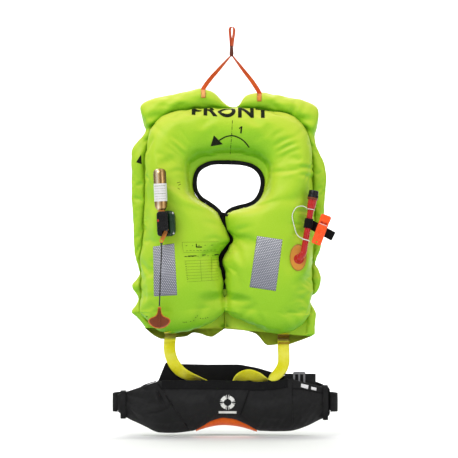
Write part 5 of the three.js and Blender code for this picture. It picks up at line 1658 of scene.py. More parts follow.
pip_l = tube("piping_left", on_pouch([(158.4, 382.6), (163.4, 389.6), (168.2, 396.6), (178, 411.2), (187.0, 424.6)], 50, 0.0009), 0.0014, BINDING, 8)
pip_r = tube("piping_right", on_pouch([(248.9, 388.6), (244.6, 401.4), (240.0, 413.5)], 24, 0.0008), 0.0012, BINDING, 8)
for o, n in ((pip_l, "pouch_piping_left"), (pip_r, "pouch_piping_right")):
    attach(o, "pouch")
    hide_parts(n)

# wing hem at the slant top of the left side, and a flap edge over the right-hand pocket
wedge = tube("wing_edge_right", on_pouch([(292.0, 387.0), (300, 387.8), (311, 390.2), (321, 392.4), (326.6, 393.4)], 40, 0.0006), 0.0011, BINDING, 8)
wedge2 = tube("wing_edge_left", on_pouch([(142, 385.4), (148, 382.8), (156.6, 380.2)], 24, 0.0005), 0.0010, BINDING, 8)
for o in (wedge, wedge2):
    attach(o, "pouch")

# orange lining under the arch
xs = np.linspace(-74, 51, 90)
low_t = np.array([[-76.9, -828.2], [-51.2, -820.0], [-20.5, -815.1], [16.4, -818.4], [54.1, -829.2]])
lc = catmull(low_t, 60)
rows, uv = [], []
for x in xs:
    hi = np.interp(x, _fx, _tab[1]) + 0.4
    lo = max(min(np.interp(x, lc[:, 0], lc[:, 1]) - 3.2, hi - 2.0), -833.0)
    arch = float(smooth01((x + 92.2) / 26.6) * (1 - smooth01((x - 41.0) / 26.6)))
    y0 = POUCH_Y - 9 - 19 * arch
    r = []
    for a in np.linspace(0, 1, 12):
        bow = math.sin(a * math.pi / 2)
        z = hi + (lo - hi) * bow
        y = y0 + (POUCH_Y - 1.0 - y0) * (1 - math.cos(a * math.pi / 2)) - 0.8 * math.sin(a * math.pi) * (1 + 0.6 * math.sin(x * 0.30) + 0.4 * math.sin(x * 0.83))
        r.append((x / 1000, y / 1000, z / 1000))
    inner = [(p[0], p[1] + 0.0011, p[2] + 0.0009) for p in r]
    rows.append(r + inner[::-1])
    uv.append([(x / 1000, p[1] + p[2]) for p in r + inner[::-1]])
lining = grid("pouch_lining_band", rows, close_v=True, caps=True, uv=uv)
fix_normals(lining)
lining.data.materials.append(LINING)
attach(lining, "pouch")
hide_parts("pouch_lining")

# rear panel: padded, quilted in channels on the wearer's side
REAR_PANEL = [[-233.7, -754.4], [-209.1, -747.4], [-176.3, -735.9], [-151.7, -728.8], [-146.6, -715.4], [-135.7, -688.8], [-127.1, -691.3], [-109.7, -692.9], [-49.2, -694.1], [15.4, -693.9], [53.3, -701.1], [92.2, -712.8], [106.6, -717.5], [149.6, -717.5], [164.0, -726.9], [180.4, -731.8], [200.9, -742.1], [200.9, -798.5], [178.3, -807.3], [149.6, -821.0], [123.0, -829.6], [56.4, -829.6], [30.7, -819.0], [8.2, -810.8], [-20.5, -807.7], [-49.2, -813.8], [-79.9, -828.8], [-118.9, -833.5], [-145.5, -833.5], [-164.0, -828.2], [-202.9, -809.7], [-233.7, -790.3]]
poly = np.array(REAR_PANEL + REAR_PANEL[:1], float)
ring_p = resample(poly, 361)[:-1]
ring_s = np.copy(ring_p)
for _ in range(2):
    ring_s = (np.roll(ring_s, 1, 0) + 2 * ring_s + np.roll(ring_s, -1, 0)) / 4
mid_line = np.stack([ring_s[:, 0] * 0.93, np.interp(ring_s[:, 0], [-234, -146, 107, 201], [-771, -764, -768, -770])], axis=1)
rows = []
for s, yf, yb in ((0.0, 0, 0), (0.008, 0, 0), (0.03, 0, 0), (0.07, 0, 0), (0.15, 0, 0), (0.26, 0, 0), (0.4, 0, 0), (0.55, 0, 0), (0.7, 0, 0), (0.85, 0, 0), (0.97, 0, 0)):
    rows.append(ring_s * (1 - s) + mid_line * s)


def rear_depth(s, q, back):
    edge = min(1.0, s / 0.05) ** 0.5
    if not back:
        return POUCH_Y + 2.6 - 2.4 * edge
    ch = 0.8 * abs(math.sin(q[0] / 34 * math.pi)) ** 0.5 * min(1.0, s / 0.1) + 0.5 * min(1.0, s / 0.1)
    return RY - 3.4 + 2.0 * edge + ch


verts, faces = [], []
S = (0.0, 0.008, 0.03, 0.07, 0.15, 0.26, 0.4, 0.55, 0.7, 0.85, 0.97)
nr = len(ring_s)
for back in (False, True):
    for s, r in zip(S, rows):
        for q in r:
            verts.append((q[0] / 1000, rear_depth(s, q, back) / 1000, q[1] / 1000))
half = len(S) * nr
for b in (0, half):
    for i in range(len(S) - 1):
        for j in range(nr):
            a, c = b + i * nr + j, b + i * nr + (j + 1) % nr
            faces.append((a, c, c + nr, a + nr) if b else (a, a + nr, c + nr, c))
for j in range(nr):
    k = (j + 1) % nr
    faces.append((j, k, half + k, half + j))
last = (len(S) - 1) * nr
for b in (0, half):
    for j in range(nr // 2):
        a, c = b + last + j, b + last + j + 1
        d, e = b + last + (nr - 1 - j) % nr, b + last + (nr - j) % nr
        if len({a, c, d, e}) > 2 and j < nr // 2 - 1:
            faces.append(tuple(dict.fromkeys((a, c, d, e))))
rear_panel = make("pouch_rear_padded", verts, faces)
fix_normals(rear_panel)
rear_panel.data.materials.append(POUCH_BACK)
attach(rear_panel, "pouch")
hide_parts("pouch_rear_panel")

# printed emblem: a plain lifebuoy ring over a bar, nothing more
em = []
cx0, cy0 = 227.6, 400.6
for k in range(4):
    a0 = math.radians(90 * k + 17)
    em.append(([(cx0 + 5.6 * math.cos(a0 + math.radians(56) * q / 12), cy0 + 5.2 * math.sin(a0 + math.radians(56) * q / 12)) for q in range(13)], 3.6))
em.append(([(218.8, 410.6), (236.4, 410.6)], 2.4))
for k in range(4):
    a0 = math.radians(90 * k)
    for w in (-1, 1):
        em.append(([(cx0 + r * math.cos(a0 + w * 0.16), cy0 + r * math.sin(a0 + w * 0.16)) for r in (3.6, 7.6)], 0.5))
v, f = line_mesh(em, 0.6)
emblem = drape("printed_emblem", v, f, POUCH_TREE, WHITE_INK, "pouch", 0.0005)
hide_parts("emblem_patch")


def front_anchor(u, v, off):
    """the lowest tube's front face at the grid point, mm"""
    y, _ = front_of(REAR_TREE, X(u), Z(v))
    yf, _ = front_of(FRONT_TREE, X(u), Z(v))
    ys = [q for q in (y, yf) if q is not None]
    return (min(ys) * 1000 if ys else -9) - off


left_pts = [[-126.8, front_anchor(170.2, 331.6, 1.3), -626.4, 1, 0, 0.14], [-127.0, front_anchor(170.1, 334.6, 1.5), -633.0, 1, 0, 0.06], [-127.4, -13, -642.7, 1, 0, 0], [-128.2, -9.6, -652, 1, 0, 0], [-128.5, -9, -660, 1, 0, 0], [-126.3, -14, -674.4, 1, 0, 0.1], [-119.3, -24, -690.8, 0.85, 0, 0.45], [-106.6, -24.5, -706.8, 0.7, -0.3, 0.75],
            [-88.1, -29, -717.1, 0.3, -0.65, 0.8], [-63.5, -33.5, -722.8, 0.1, -0.9, 0.3], [-43.0, -35, -730.8, 0, -1, 0.1], [-30.7, -35, -744.1, 0, -1, 0], [-26.6, -35, -762.6, 0, -1, 0]]
right_pts = [[106.4, front_anchor(284.0, 334.2, 1.3), -631.2, 1, 0, 0], [106.1, front_anchor(284.0, 338.0, 1.5), -639.6, 1, 0, 0], [106.0, -11, -648, 1, 0, 0], [105.8, -9, -659, 1, 0, 0], [106.4, -12, -676.5, 1, 0, 0], [105.4, -16, -692.9, 1, 0, -0.15], [98.4, -24, -707.2, 0.8, -0.3, -0.6],
             [84.0, -31, -720.4, 0.4, -0.8, -0.6], [66.6, -34, -726.0, 0.2, -0.7, 0.7], [51.2, -34, -719.0, 0.3, -0.4, 0.85], [33.8, -33, -714.6, 0, -0.25, 1.0],
             [17.4, -34, -719.5, -0.3, -0.45, 0.85], [4.1, -35, -731.0, -0.2, -0.9, 0.4], [-2.0, -35, -746.2, 0, -1, 0], [-4.1, -35, -762.6, 0, -1, 0]]
yoke_l = strap("yoke_webbing_left", left_pts, 24, 1.7, 110, WEB_YELLOW, None, 0.35)
yoke_r = strap("yoke_webbing_right", right_pts, 24, 1.7, 130, WEB_YELLOW, None, 0.35)
YL_TREE, YR_TREE = tree(yoke_l), tree(yoke_r)
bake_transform(yoke_l)
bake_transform(yoke_r)
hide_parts("strap_anchor_left", "yoke_strap_left")
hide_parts("strap_anchor_right", "yoke_strap_right")


def dressing(name, corners, bvh, mat, body, off=0.3, thick=0.5, nu=10, nv=8):
    return patch(name, corners, nu, nv, off, thick, mat, bvh, body)


# the right strap's sewn end, darkened by a patch of painted shade, and the left one's rows of stitches
p1 = dressing("strap_end_right", [(278.0, 334.9), (289.9, 334.9), (289.7, 344.6), (278.3, 344.6)], YR_TREE, WEB_PAINTED_SHADE, "jacket", 0.05, 0.5)
st1 = stitches("strap_stitches_left", [(164.9, 334.2), (176.2, 330.8)], YL_TREE, THREAD_YELLOW, "jacket", 1.0, 0.8, 0.42, 0.0003)
st2 = stitches("strap_stitches_left_low", [(165.0, 337.0), (176.0, 336.2)], YL_TREE, THREAD_YELLOW, "jacket", 1.0, 0.8, 0.3, 0.0003)
st3 = stitches("strap_stitches_right", [(278.6, 336.4), (289.4, 336.4), (289.2, 343.2), (278.8, 343.2), (278.6, 336.4)], YR_TREE, THREAD_YELLOW, "jacket", 0.9, 0.7, 0.28, 0.0006)

# ---------------------------------------------------------------- waist belt
BUCKLE_Y, BELT_Z = 53.7, -771.5
beltL = [[-234.4, POUCH_Y - 4], [-240, POUCH_Y - 2.5], [-244, POUCH_Y + 4], [-243.5, POUCH_Y + 14], [-236, RY + 26], [-207, RY + 45], [-150, RY + 60], [-95, RY + 65], [-61.5, BUCKLE_Y]]
beltR = [[201.6, POUCH_Y - 4], [210, POUCH_Y - 2.5], [215.5, POUCH_Y + 4], [215.5, POUCH_Y + 14], [206, RY + 28], [170, RY + 48], [120, RY + 60], [80, RY + 64], [50, BUCKLE_Y - 1.6]]
bl_pts = [[x, y, BELT_Z, 0, 0, 1] for x, y in beltL]
br_pts = [[x, y, BELT_Z, 0, 0, 1] for x, y in beltR]
belt_l = strap("belt_webbing_left", bl_pts, 38, 2.0, 130, WEB_BLACK, "pouch", 0.3)
belt_r = strap("belt_webbing_right", br_pts, 38, 2.0, 130, WEB_BLACK, "pouch", 0.3)
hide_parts("belt_left")
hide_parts("belt_right")
plug_pts = [[16.6, BUCKLE_Y + 1.6, BELT_Z, 0, 0, 1], [40, BUCKLE_Y + 1.6, BELT_Z, 0, 0, 1], [62, BUCKLE_Y + 1.3, BELT_Z, 0, 0, 1], [84, BUCKLE_Y + 0.6, BELT_Z, 0, 0, 1]]
plug_web = strap("plug_webbing_tail", plug_pts, 38, 2.0, 40, WEB_BLACK, "belt_plug", 0.3)
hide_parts("plug_webbing")


def keeper(name, x0, x1, y0, z0, z1, node):
    xm, w = (x0 + x1) / 2, abs(x1 - x0)
    p = []
    for y, z in ((RY - 0.8, z1 + 1), (RY - 6, z1 + 1), (y0 + 4, z1 + 1), (y0 + 1.0, z1 + 0.2), (y0 - 0.9, z1 - 2.4), (y0 - 1, z1 - 8), (y0 - 1, (z0 + z1) / 2), (y0 - 1, z0 + 8), (y0 - 0.9, z0 + 2.4), (y0 + 1.0, z0 - 0.2), (y0 + 4, z0 - 1), (RY - 6, z0 - 1), (RY - 0.8, z0 - 1)):
        p.append([xm, y, z, 1, 0, 0])
    o = strap(name, p, w, 1.9, 120, WEB_BLACK, "pouch", 0.3)
    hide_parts(node)
    return o


keeper("keeper_band_left", -228, -217, POUCH_Y - 19, -802, -749, "keeper_left")
keeper("keeper_band_right", 186, 196, POUCH_Y - 22, -804.5, -738, "keeper_right")
pocket_pts = [[107.3, POUCH_Y - 12, -730.8, 0, 0, 1], [130, POUCH_Y - 12.2, -730.8, 0, 0, 1], [150, POUCH_Y - 11.8, -730.8, 0, 0, 1], [171.3, POUCH_Y - 12, -730.8, 0, 0, 1]]
pocket = strap("pocket_belt_webbing", pocket_pts, 38, 2.0, 40, WEB_BLACK, "pouch", 0.3)
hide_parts("pocket_webbing")


# ---------------------------------------------------------------- inflator
I_AT, I_ROT = (-0.13325, 0, -0.4053), Matrix.Rotation(-0.0439, 4, "Y")


def inflator(o, body, node):
    local(o, I_AT, I_ROT)
    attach(o, body)
    if node:
        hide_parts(node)
    return o


def joined(name, parts):
    bm = bmesh.new()
    for p in parts:
        dg = bpy.context.evaluated_depsgraph_get()
        me = bpy.data.meshes.new_from_object(p.evaluated_get(dg))
        bm.from_mesh(me)
        bpy.data.meshes.remove(me)
    me = bpy.data.meshes.new(name)
    bm.to_mesh(me)
    bm.free()
    mats = list(parts[0].data.materials)
    for p in parts:
        bpy.data.objects.remove(p)
    o = link(name, me)
    me.materials.clear()
    for m in mats:
        me.materials.append(m)
    smooth_by_angle(o, 42)
    return o


def carve(o, *cutters):
    for c in cutters:
        m = o.modifiers.new("carve", "BOOLEAN")
        m.object, m.operation, m.solver = c, "DIFFERENCE", "EXACT"
        apply_modifiers(o)
        bpy.data.objects.remove(c)
    smooth_by_angle(o, 35)
    return o


cover = joined("inflator_case", [block("c1", rrect(-19, -26, 19, 26, 11.5, 12), -74, -63.1, GREEN_PLASTIC, 3.2, 5), block("c2", rrect(4.9, -24.4, 18.2, 24.4, 6.4, 10), -88, -70, GREEN_PLASTIC, 4.2, 6),
                                block("c3", rrect(7.6, -20, 16.4, 20, 3.6, 6), -88.7, -86, GREEN_PLASTIC, 0.6, 2)])
inflator(cover, "jacket", "inflator_cover")
parts = [block("b1", rrect(-18.4, -25, 4.2, 25, 6.4, 10), -96.4, -74.4, BLACK_PLASTIC, 2.4, 5), block("b2", rrect(-13.6, -8.0, -3.4, 24.2, 4.2, 8), -97.6, -90, BLACK_PLASTIC, 1.6, 4),
         block("b3", rrect(-1.4, -10, 2.9, 20, 1.6, 5), -97.3, -92, BLACK_PLASTIC, 0.6, 3)]
for k in range(5):
    parts.append(block("r", rrect(-17.2, -20 + 3.3 * k, -14.6, -18.5 + 3.3 * k, 0.6, 3), -97.3, -94, BLACK_PLASTIC, 0.35, 2))
body_ = joined("inflator_block", parts)
body_ = carve(body_, block("slot1", rrect(-15.2, -30, 3.0, -8.4, 1.6, 3), -87.2, -78.6, BLACK_PLASTIC, 0), block("slot2", rrect(-9.2, -30, 2.4, -14, 2, 4), -99, -84, BLACK_PLASTIC, 0))
inflator(body_, "jacket", "inflator_body")
for k, (x, z) in enumerate(((14.6, 20.5), (14.6, -20.5))):
    sc = lathe(f"cover_screw_{k}", [[0, 1.0], [1.2, 1.0], [1.7, 0.7], [1.8, -1.0], [0, -1.0]], STEEL, 24, (x / 1000, -0.0888, z / 1000), (0, -1, 0))
    inflator(sc, "jacket", None)
win = lathe("indicator_lens", [[0, 1.5], [1.0, 1.4], [1.8, 0.9], [2.3, 0.2], [2.4, -1.2], [0, -1.2]], RED_PLASTIC, 32, (-0.0158, -0.0972, 0.0068), (0, -1, 0))
win.data.transform(Matrix.Translation((-0.0158, 0, 0.0068)) @ Matrix.Diagonal((0.86, 1, 1.15, 1)) @ Matrix.Translation((0.0158, 0, -0.0068)))
inflator(win, "jacket", "status_indicator")
rim = tube("indicator_rim", [(-0.0158 + 0.0024 * math.cos(a), -0.0968, 0.0068 + 0.0030 * math.sin(a)) for a in np.linspace(0, 2 * math.pi, 30)], 0.0004, BLACK_PLASTIC, 8)
inflator(rim, "jacket", None)

# lever: a straight strip rounded at the pin and at the tip, with ribs, a pin hole and an eye
pv, tp = np.array([0.6, -13.0]), np.array([-11.0, -34.2])
dv = (tp - pv) / np.linalg.norm(tp - pv)
nv_ = np.array([-dv[1], dv[0]])
out = []
for a in np.linspace(-90, 90, 13):
    out.append(pv - dv * 4.2 * math.cos(math.radians(a)) + nv_ * 4.2 * math.sin(math.radians(a)))
for a in np.linspace(90, -90, 13):
    out.append(tp + dv * 4.2 * math.cos(math.radians(a)) + nv_ * 4.2 * math.sin(math.radians(a)))
lv = block("lever_a", [tuple(p) for p in out], -86.0, -80.0, ORANGE_TAN, 1.3, 4)
ribs = []
for s0 in (9, 13, 17, 21):
    c = pv + dv * s0
    q = [c + dv * 0.9 + nv_ * 3.0, c + dv * 0.9 - nv_ * 3.0, c - dv * 0.9 - nv_ * 3.0, c - dv * 0.9 + nv_ * 3.0]
    ribs.append(block("rb", [tuple(p) for p in q], -86.8, -85, ORANGE_TAN, 0.35, 2))
lv = joined("lever", [lv] + ribs)
eye = lathe("e", [[0, 6], [1.9, 6], [1.9, -6], [0, -6]], ORANGE_TAN, 24, (tp[0] / 1000, -0.083, tp[1] / 1000), (0, 1, 0))
pinh = lathe("e2", [[0, 6], [1.7, 6], [1.7, -6], [0, -6]], ORANGE_TAN, 24, (pv[0] / 1000, -0.083, pv[1] / 1000), (0, 1, 0))
carve(lv, eye, pinh)
inflator(lv, "firing_lever", "firing_lever")

CXY = (-0.0086, -0.084, 0)
cyl = lathe("cylinder_bottle", [[0, 11.6], [4.9, 11.6], [4.9, 13.2], [4.5, 13.8], [4.9, 14.4], [4.5, 15], [4.9, 15.6], [4.5, 16.2], [4.9, 16.8], [4.5, 17.4], [4.9, 18], [4.6, 19], [5.2, 20], [5.2, 26.4], [6.2, 27.2], [8, 28.5], [10.2, 30.4], [11.6, 32.6], [12.5, 35.6], [12.9, 38.6], [13, 42],
                            [13, 82], [13, 101], [12.8, 104], [12.1, 106.6], [10.8, 108.8], [9, 110.3], [6.4, 111.4], [3.4, 111.9], [0, 112]], BRASS, 96, CXY, (0, 0, 1), 40)
inflator(cyl, "gas_cylinder", "gas_cylinder")
lab = lathe("cylinder_paper", [[13.02, 45.4], [13.22, 45.6], [13.24, 55], [13.24, 72], [13.22, 81.3], [13.02, 81.5]], PAPER, 96, CXY, (0, 0, 1), 40)
inflator(lab, "gas_cylinder", "cylinder_label")
rows_ = []
rg = np.random.default_rng(9)
for k in range(6):
    z = 76.5 - 5.2 * k
    a0 = -150
    while a0 < -36:
        a1 = a0 + rg.uniform(6, 16)
        ring = [(CXY[0] + 0.01330 * math.cos(math.radians(a)), CXY[1] + 0.01330 * math.sin(math.radians(a)), z / 1000) for a in np.linspace(a0, min(a1, -36), 6)]
        rows_.append((ring, 0.55 if k % 3 else 1.0))
        a0 = a1 + 3.5
verts, faces = [], []
for ring, h in rows_:
    k = len(verts)
    for p in ring:
        verts += [(p[0], p[1], p[2] - h / 2000), (p[0], p[1], p[2] + h / 2000)]
    for i in range(len(ring) - 1):
        a = k + 2 * i
        faces.append((a, a + 2, a + 3, a + 1))
lines_ = make("label_rules", verts, faces)
lines_.data.materials.append(FAINT)
inflator(lines_, "gas_cylinder", None)
collar = lathe("neck_collar", [[5.0, 25.0], [7.4, 25.2], [7.6, 26.2], [7.4, 27.2], [5.4, 27.4], [5.0, 25.0]], ORANGE_TAN, 64, CXY, (0, 0, 1), 40)
inflator(collar, "gas_cylinder", None)

# handle: a flattened mushroom with a rim and a middle rib
hx, hz = -146.9, -574.0
hp = [(-3, 0), (3, 0), (3.6, -6), (4.6, -11.5), (7.6, -16.6), (12.6, -19.6), (18.4, -21.9), (22.0, -25.6), (22.4, -29.6), (20.2, -33.8), (14.6, -39.2), (7.6, -42.4), (0, -43.5)]
hp = hp + [(-x, z) for x, z in hp[::-1][1:-1]]
ho = resample(catmull(np.array(hp + hp[:1], float), 160), 121)[:-1]
hs = [(hx + x, hz + z) for x, z in ho]
rows, uv = [], []
cen = np.array([hx, hz - 26.0])


def handle_ring(s, y):
    return [((cen[0] + (p[0] - cen[0]) * s) / 1000, y / 1000, (cen[1] + (p[1] - cen[1]) * s) / 1000) for p in hs]


rings = [handle_ring(s, y) for s, y in ((0.1, -85.4), (0.45, -85.4), (0.72, -85.2), (0.82, -85.6), (0.89, -87.0), (0.95, -87.3), (0.985, -86.7), (1.0, -85.2), (1.0, -81.0), (0.985, -79.4), (0.95, -78.8), (0.88, -78.9), (0.8, -80.4), (0.7, -80.8), (0.4, -80.8), (0.1, -80.8))]
handle = grid("line_handle", rings, close_v=True, caps=True)
fix_normals(handle)
handle.data.materials.append(BROWN_PLASTIC)
handle.data.materials.append(ORANGE_RIM)
for f in handle.data.polygons:
    c = f.center
    d = math.hypot((c.x * 1000 - cen[0]), (c.z * 1000 - cen[1]))
    k = min(range(len(hs)), key=lambda i: (hs[i][0] - c.x * 1000) ** 2 + (hs[i][1] - c.z * 1000) ** 2)
    if math.hypot(hs[k][0] - c.x * 1000, hs[k][1] - c.z * 1000) < 2.4:
        f.material_index = 1
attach(handle, "pull_handle")
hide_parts("pull_handle")
rib = block("handle_rib", rrect(hx - 1.3, hz - 41.5, hx + 1.3, hz - 2.0, 1.2, 5), -87.6, -78.8, BROWN_PLASTIC, 0.7, 3)
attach(rib, "pull_handle")
fer = lathe("handle_ferrule", [[0, 1.6], [1.9, 1.5], [2.7, 0.6], [2.9, -1.0], [2.9, -4.0], [0, -4.0]], BROWN_PLASTIC, 40, (hx / 1000, -0.083, (hz - 1.6) / 1000), (0, 0, 1))
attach(fer, "pull_handle")
knot = lathe("line_knot", [[0, 3.0], [1.7, 2.6], [2.5, 1.2], [2.6, -0.4], [2.2, -2.0], [1.3, -3.0], [0, -3.2]], BLACK_BRAID, 32, ((TIP[0]) / 1000, -0.083, (TIP[1] - 5.2) / 1000), (0, 0, 1), 80)
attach(knot, "pull_line")

# ---------------------------------------------------------------- oral tube
BASE = np.array([145.1, -71, -463.3])
AX = np.array([20.3, 11, 118.1])
AX = AX / np.linalg.norm(AX)
BASE_M = tuple(BASE / 1000)
el = [(134.3 + 17 * math.cos(a), -474.2 + 27 * math.sin(a)) for a in np.linspace(0, 2 * math.pi, 73)[:-1]]


def ell(s, y):
    return [((134.3 + (x - 134.3) * s) / 1000, y / 1000, (-474.2 + (z + 474.2) * s) / 1000) for x, z in el]


fl = grid("flange_welded", [ell(s, y) for s, y in ((0.08, -62.4), (0.3, -62.4), (0.5, -62.0), (0.75, -61.6), (0.88, -61.5), (0.93, -62.0), (0.97, -61.9), (1.0, -61.0), (1.0, -59.6), (0.985, -59.0), (0.5, -59.0), (0.08, -59.0))], close_v=True, caps=True)
fix_normals(fl)
fl.data.materials.append(AMBER)
fl.data.materials.append(AMBER_RIM)
for f in fl.data.polygons:
    c = f.center
    if ((c.x * 1000 - 134.3) / 17) ** 2 + ((c.z * 1000 + 474.2) / 27) ** 2 > 0.84:
        f.material_index = 1
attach(fl, "jacket")
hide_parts("oral_flange")
boss = lathe("elbow_foot", [[0, 5.6], [6.8, 5.4], [7.6, 4.2], [8.6, 1.6], [10.2, 0.5], [10.6, 0.0], [0, 0]], RED_PLASTIC, 64, (0.1359, -0.0618, -0.4768), (0, -1, 0))
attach(boss, "jacket")
hp_ = [(135.9, -63.4, -477.2), (135.9, -66.2, -476.8), (137.9, -68.6, -474.4), (140.9, -70.1, -469.8), tuple(BASE)] + [tuple(BASE + AX * s) for s in (10, 22, 36, 50, 64, 78, 88.6)]
hc = resample(catmull(np.array(hp_), 120), 90) / 1000
rr = np.full(90, 0.00632)
sl_ = np.concatenate([[0], np.cumsum(np.linalg.norm(np.diff(hc, axis=0), axis=1))]) * 1000
rr += 0.00006 * np.sin(sl_ * 1.1)
rr += 0.0007 * np.exp(-(((sl_ - 14) / 4.5) ** 2))
hose = tube("oral_hose_skin", hc, rr, RED_PLASTIC, 40)
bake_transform(hose)
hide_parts("oral_elbow", "oral_hose")


def on_tube(name, profile, mat, body, node, crease=32):
    o = lathe(name, profile, mat, 72, BASE_M, tuple(AX), crease)
    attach(o, body)
    if node:
        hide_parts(node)
    return o


on_tube("mouthpiece", [[3.0, 86.4], [6.7, 86.4], [7.0, 87.2], [7.0, 89.0], [7.9, 92.2], [8.6, 94.0], [8.9, 95.6], [8.9, 98.0], [8.6, 98.4], [8.6, 99.2], [8.9, 99.6], [8.9, 104.4], [8.6, 104.8], [8.6, 105.6], [8.9, 106.0], [9.0, 112], [3.0, 112], [3.0, 86.4]], RED_PLASTIC, "oral_tube", "valve_housing")
cap_prof = [[9.3, 108.6], [10.2, 108.5], [10.5, 109.2], [10.4, 117.8], [10.1, 118.4], [10.2, 119.0], [10.1, 122.0], [9.9, 125.4], [9.5, 126.8], [8.6, 127.5], [7.2, 127.7], [6.9, 127.2], [0, 127.1]]
on_tube("valve_cap", cap_prof, BLACK_PLASTIC, "dust_cap", "dust_cap")
on_tube("valve_cap_band", [[10.45, 109.0], [10.75, 109.4], [10.75, 112.2], [10.45, 112.6], [10.3, 112.6], [10.3, 109.0], [10.45, 109.0]], BROWN_PLASTIC, "dust_cap", None)
q = Vector((0, 0, 1)).rotation_difference(Vector(AX)).to_matrix().to_4x4()
TUBE_M = Matrix.Translation(Vector(BASE_M)) @ q
gr = []
for k in range(28):
    a = 2 * math.pi * k / 28
    bm = bmesh.new()
    bmesh.ops.create_cube(bm, size=1, matrix=Matrix.Rotation(a, 4, "Z") @ Matrix.Translation((0.01045, 0, 0.1153)) @ Matrix.Diagonal((0.0008, 0.0009, 0.0046, 1)))
    me = bpy.data.meshes.new("g")
    bm.to_mesh(me)
    bm.free()
    o = link("g", me)
    bevel(o, 0.0002, 2)
    o.data.materials.append(BLACK_PLASTIC)
    gr.append(o)
grip = joined("valve_cap_grip", gr)
grip.data.transform(TUBE_M)
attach(grip, "dust_cap")
for k, s in enumerate((25.0, 88.2)):
    on_tube(f"lanyard_turn_{k}", [[(6.4 if k == 0 else 7.1) + 0.75 + 0.8 * math.cos(a), s + 0.8 * math.sin(a)] for a in np.linspace(0, 2 * math.pi, 13)], WHITE_BRAID, "oral_tube", None, 180)

# hook-and-loop strap round the hose, its tail behind the whistle
th = 0.32
turn = []
for a in np.linspace(-40, 320, 44):
    r = 7.55 + 0.9 * (a + 40) / 360
    ar = math.radians(a)
    turn.append([r * math.cos(ar), r * math.sin(ar), 59.8 - 0.01 * (a + 40) * 0.2, 0, 0, 1])
wrap = strap("retainer_turn", turn, 19.5, 1.5, 140, BINDING, None, 0.2)
tail_pts = []
for d, y in ((-3, 8.6), (6, 8.4), (16, 7.4), (28, 7.3), (40, 7.9), (48, 8.6), (54.5, 9.8)):
    tail_pts.append([3 + d * math.cos(th), y - 0.3, 59.8 - d * math.sin(th), math.sin(th), 0.02 * d / 10, math.cos(th)])
tail = strap("retainer_tail", tail_pts, 19.2, 1.8, 90, BINDING, None, 0.2)
for o in (wrap, tail):
    o.data.transform(TUBE_M)
    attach(o, "oral_tube")
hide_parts("retainer_strap")
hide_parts("retainer_strap")

# whistle
W_M = Matrix.Translation((0.1808, -0.065, -0.4176)) @ Matrix.Rotation(0.3566, 4, "Y")
wb = block("wh", rrect(-10.2, -31.7, 10.2, 31.7, 4, 8), -9.4, 1.2, ORANGE_PLASTIC, 1.5, 4)
wh = carve(wb, block("k1", rrect(-7, 12.2, -0.8, 16.4, 0.5, 3), -12, -3.2, ORANGE_PLASTIC, 0), block("k2", rrect(0.8, 12.2, 7, 16.4, 0.5, 3), -12, -3.2, ORANGE_PLASTIC, 0),
           block("k3", rrect(-7, 26, 7, 34, 0.5, 3), -6.0, -2.6, ORANGE_PLASTIC, 0),
           lathe("k4", [[0, 9], [1.9, 9], [1.9, -9], [0, -9]], ORANGE_PLASTIC, 28, (0, -0.004, -0.0265), (0, 1, 0)))
wh.name = "whistle_body"
wh.data.transform(W_M)
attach(wh, "whistle")
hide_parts("whistle")
dets = [block("w1", rrect(-8.4, -17, 8.4, 9.6, 1.6, 5), -9.9, -8, ORANGE_PLASTIC, 0.4, 3)]
for k in range(5):
    dets.append(block("w2", rrect(-7, -14 + 3.0 * k, 7, -12.8 + 3.0 * k, 0.5, 3), -10.5, -9, ORANGE_PLASTIC, 0.3, 2))
dets.append(block("w3", rrect(-10.9, 19, 10.9, 30.6, 2.4, 6), -9.1, 0.7, ORANGE_PLASTIC, 1.0, 3))
wd = joined("whistle_ridges", dets)
wd.data.transform(W_M)
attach(wd, "whistle")
wl = block("whistle_mark", rrect(-7.8, 10.6, 7.8, 11.5, 0.3, 2), -10.05, -9.2, WHITE_INK, 0)
wl.data.transform(W_M)
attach(wl, "whistle")

# ---------------------------------------------------------------- adjuster on the webbing at the right
ax_, az_ = 137.3, -730.8
lp = rrect(ax_ - 10.4, az_ - 20.8, ax_ + 10.4, az_ + 20.8, 5, 6)
lp = lp + lp[:1]
path = [(x / 1000, (POUCH_Y - 12) / 1000, z / 1000) for x, z in resample(np.array(lp), 90)]
parts = [tube("a1", path, 0.0024, GREY_PLASTIC, 14)]
parts.append(tube("a2", [((ax_) / 1000, (POUCH_Y - 13.6) / 1000, (az_ - 20.8 + 41.6 * k / 8) / 1000) for k in range(9)], 0.0020, GREY_PLASTIC, 12))
parts.append(block("a3", rrect(ax_ - 12.4, az_ + 17.6, ax_ + 12.4, az_ + 23.0, 2.4, 5), POUCH_Y - 15, POUCH_Y - 9, GREY_PLASTIC, 1.2, 3))
parts.append(block("a4", rrect(ax_ - 12.4, az_ - 23.0, ax_ + 12.4, az_ - 17.6, 2.4, 5), POUCH_Y - 15, POUCH_Y - 9, GREY_PLASTIC, 1.2, 3))
adj = joined("adjuster_frame", parts)
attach(adj, "belt_adjuster")
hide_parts("belt_adjuster")
# painted highlight: two pale patches on the pouch beside the adjuster stand for the glints on the buckle's face
for k, c in enumerate(([(300.8, 382.6), (308.2, 384.4), (307.4, 388.2), (300.4, 386.0)], [(310.8, 385.8), (316.2, 387.2), (315.8, 390.0), (310.6, 388.6)])):
    t_ = patch(f"plain_tag_{k}", c, 6, 4, 0.2, 0.5, PAPER, POUCH_TREE, "pouch")

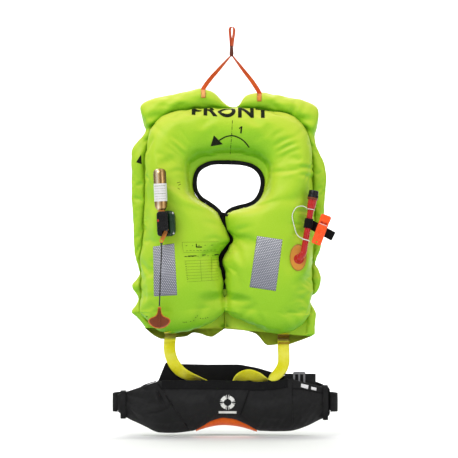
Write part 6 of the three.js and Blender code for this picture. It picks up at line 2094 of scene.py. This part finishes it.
# ---------------------------------------------------------------- CAD pieces that stay as they are
for n, m, s in (("manifold_flange", BLACK_PLASTIC, "black_plastic"), ("lever_pivot_pin", STEEL, "spring_steel"), ("firing_pin", STEEL, "spring_steel"), ("firing_spring", STEEL, "spring_steel"),
                ("cylinder_seal", RUBBER, "black_rubber"), ("valve_poppet", WHITE_PLASTIC, "white_print"), ("valve_spring", STEEL, "spring_steel"), ("buckle_socket", BLACK_PLASTIC, "black_plastic"), ("buckle_plug", BLACK_PLASTIC, "black_plastic")):
    o = NODES[n]
    o.data.materials.clear()
    o.data.materials.append(m)

# ---------------------------------------------------------------- floor, backdrop and lights
FLOOR = -0.8415


def stage_material():
    M = Mat("pale_stage")
    n = M.noise(3.0, 3, 0.5)
    M.set(color=M.mix(n, (0.86, 0.86, 0.86), (0.90, 0.90, 0.90)), rough=0.9, spec=0.1)
    return M.m


sweep = []
for x in np.linspace(-7, 7, 29):
    row = [(x, -8.0, FLOOR), (x, -4.0, FLOOR), (x, -2.0, FLOOR), (x, -0.6, FLOOR), (x, 0.2, FLOOR), (x, 0.6, FLOOR), (x, 1.2, FLOOR), (x, 2.0, FLOOR), (x, 3.5, FLOOR), (x, 4.9, FLOOR)]
    for k in range(1, 61):
        a = math.radians(90 * k / 60)
        row.append((x, 5.0 + 1.4 * math.sin(a), FLOOR + 1.4 * (1 - math.cos(a))))
    row.append((x, 6.4, 8.0))
    sweep.append(row)
stage = grid("stage_sweep", sweep)
stage.data.materials.append(stage_material())

world = bpy.data.worlds.new("studio")
scene.world = world
world.use_nodes = True
world.node_tree.nodes["Background"].inputs[0].default_value = (1, 1, 1, 1)
world.node_tree.nodes["Background"].inputs[1].default_value = 0.55
light("key", (-1.1, -1.9, 1.3), (0, 0, -0.45), (1.5, 1.5), 36)
light("fill", (1.9, -1.7, 0.2), (0, 0, -0.45), (1.2, 1.8), 9)
light("top", (0, -0.2, 1.7), (0, 0, -0.4), (2.2, 1.0), 9)
light("back", (0, 2.6, 2.8), (0, 6.0, -0.3), (8.0, 1.0), 330)
light("floor", (0, 1.3, 1.5), (0, 2.2, -0.84), (5.0, 1.2), 55)

scene.view_settings.view_transform = "Standard"
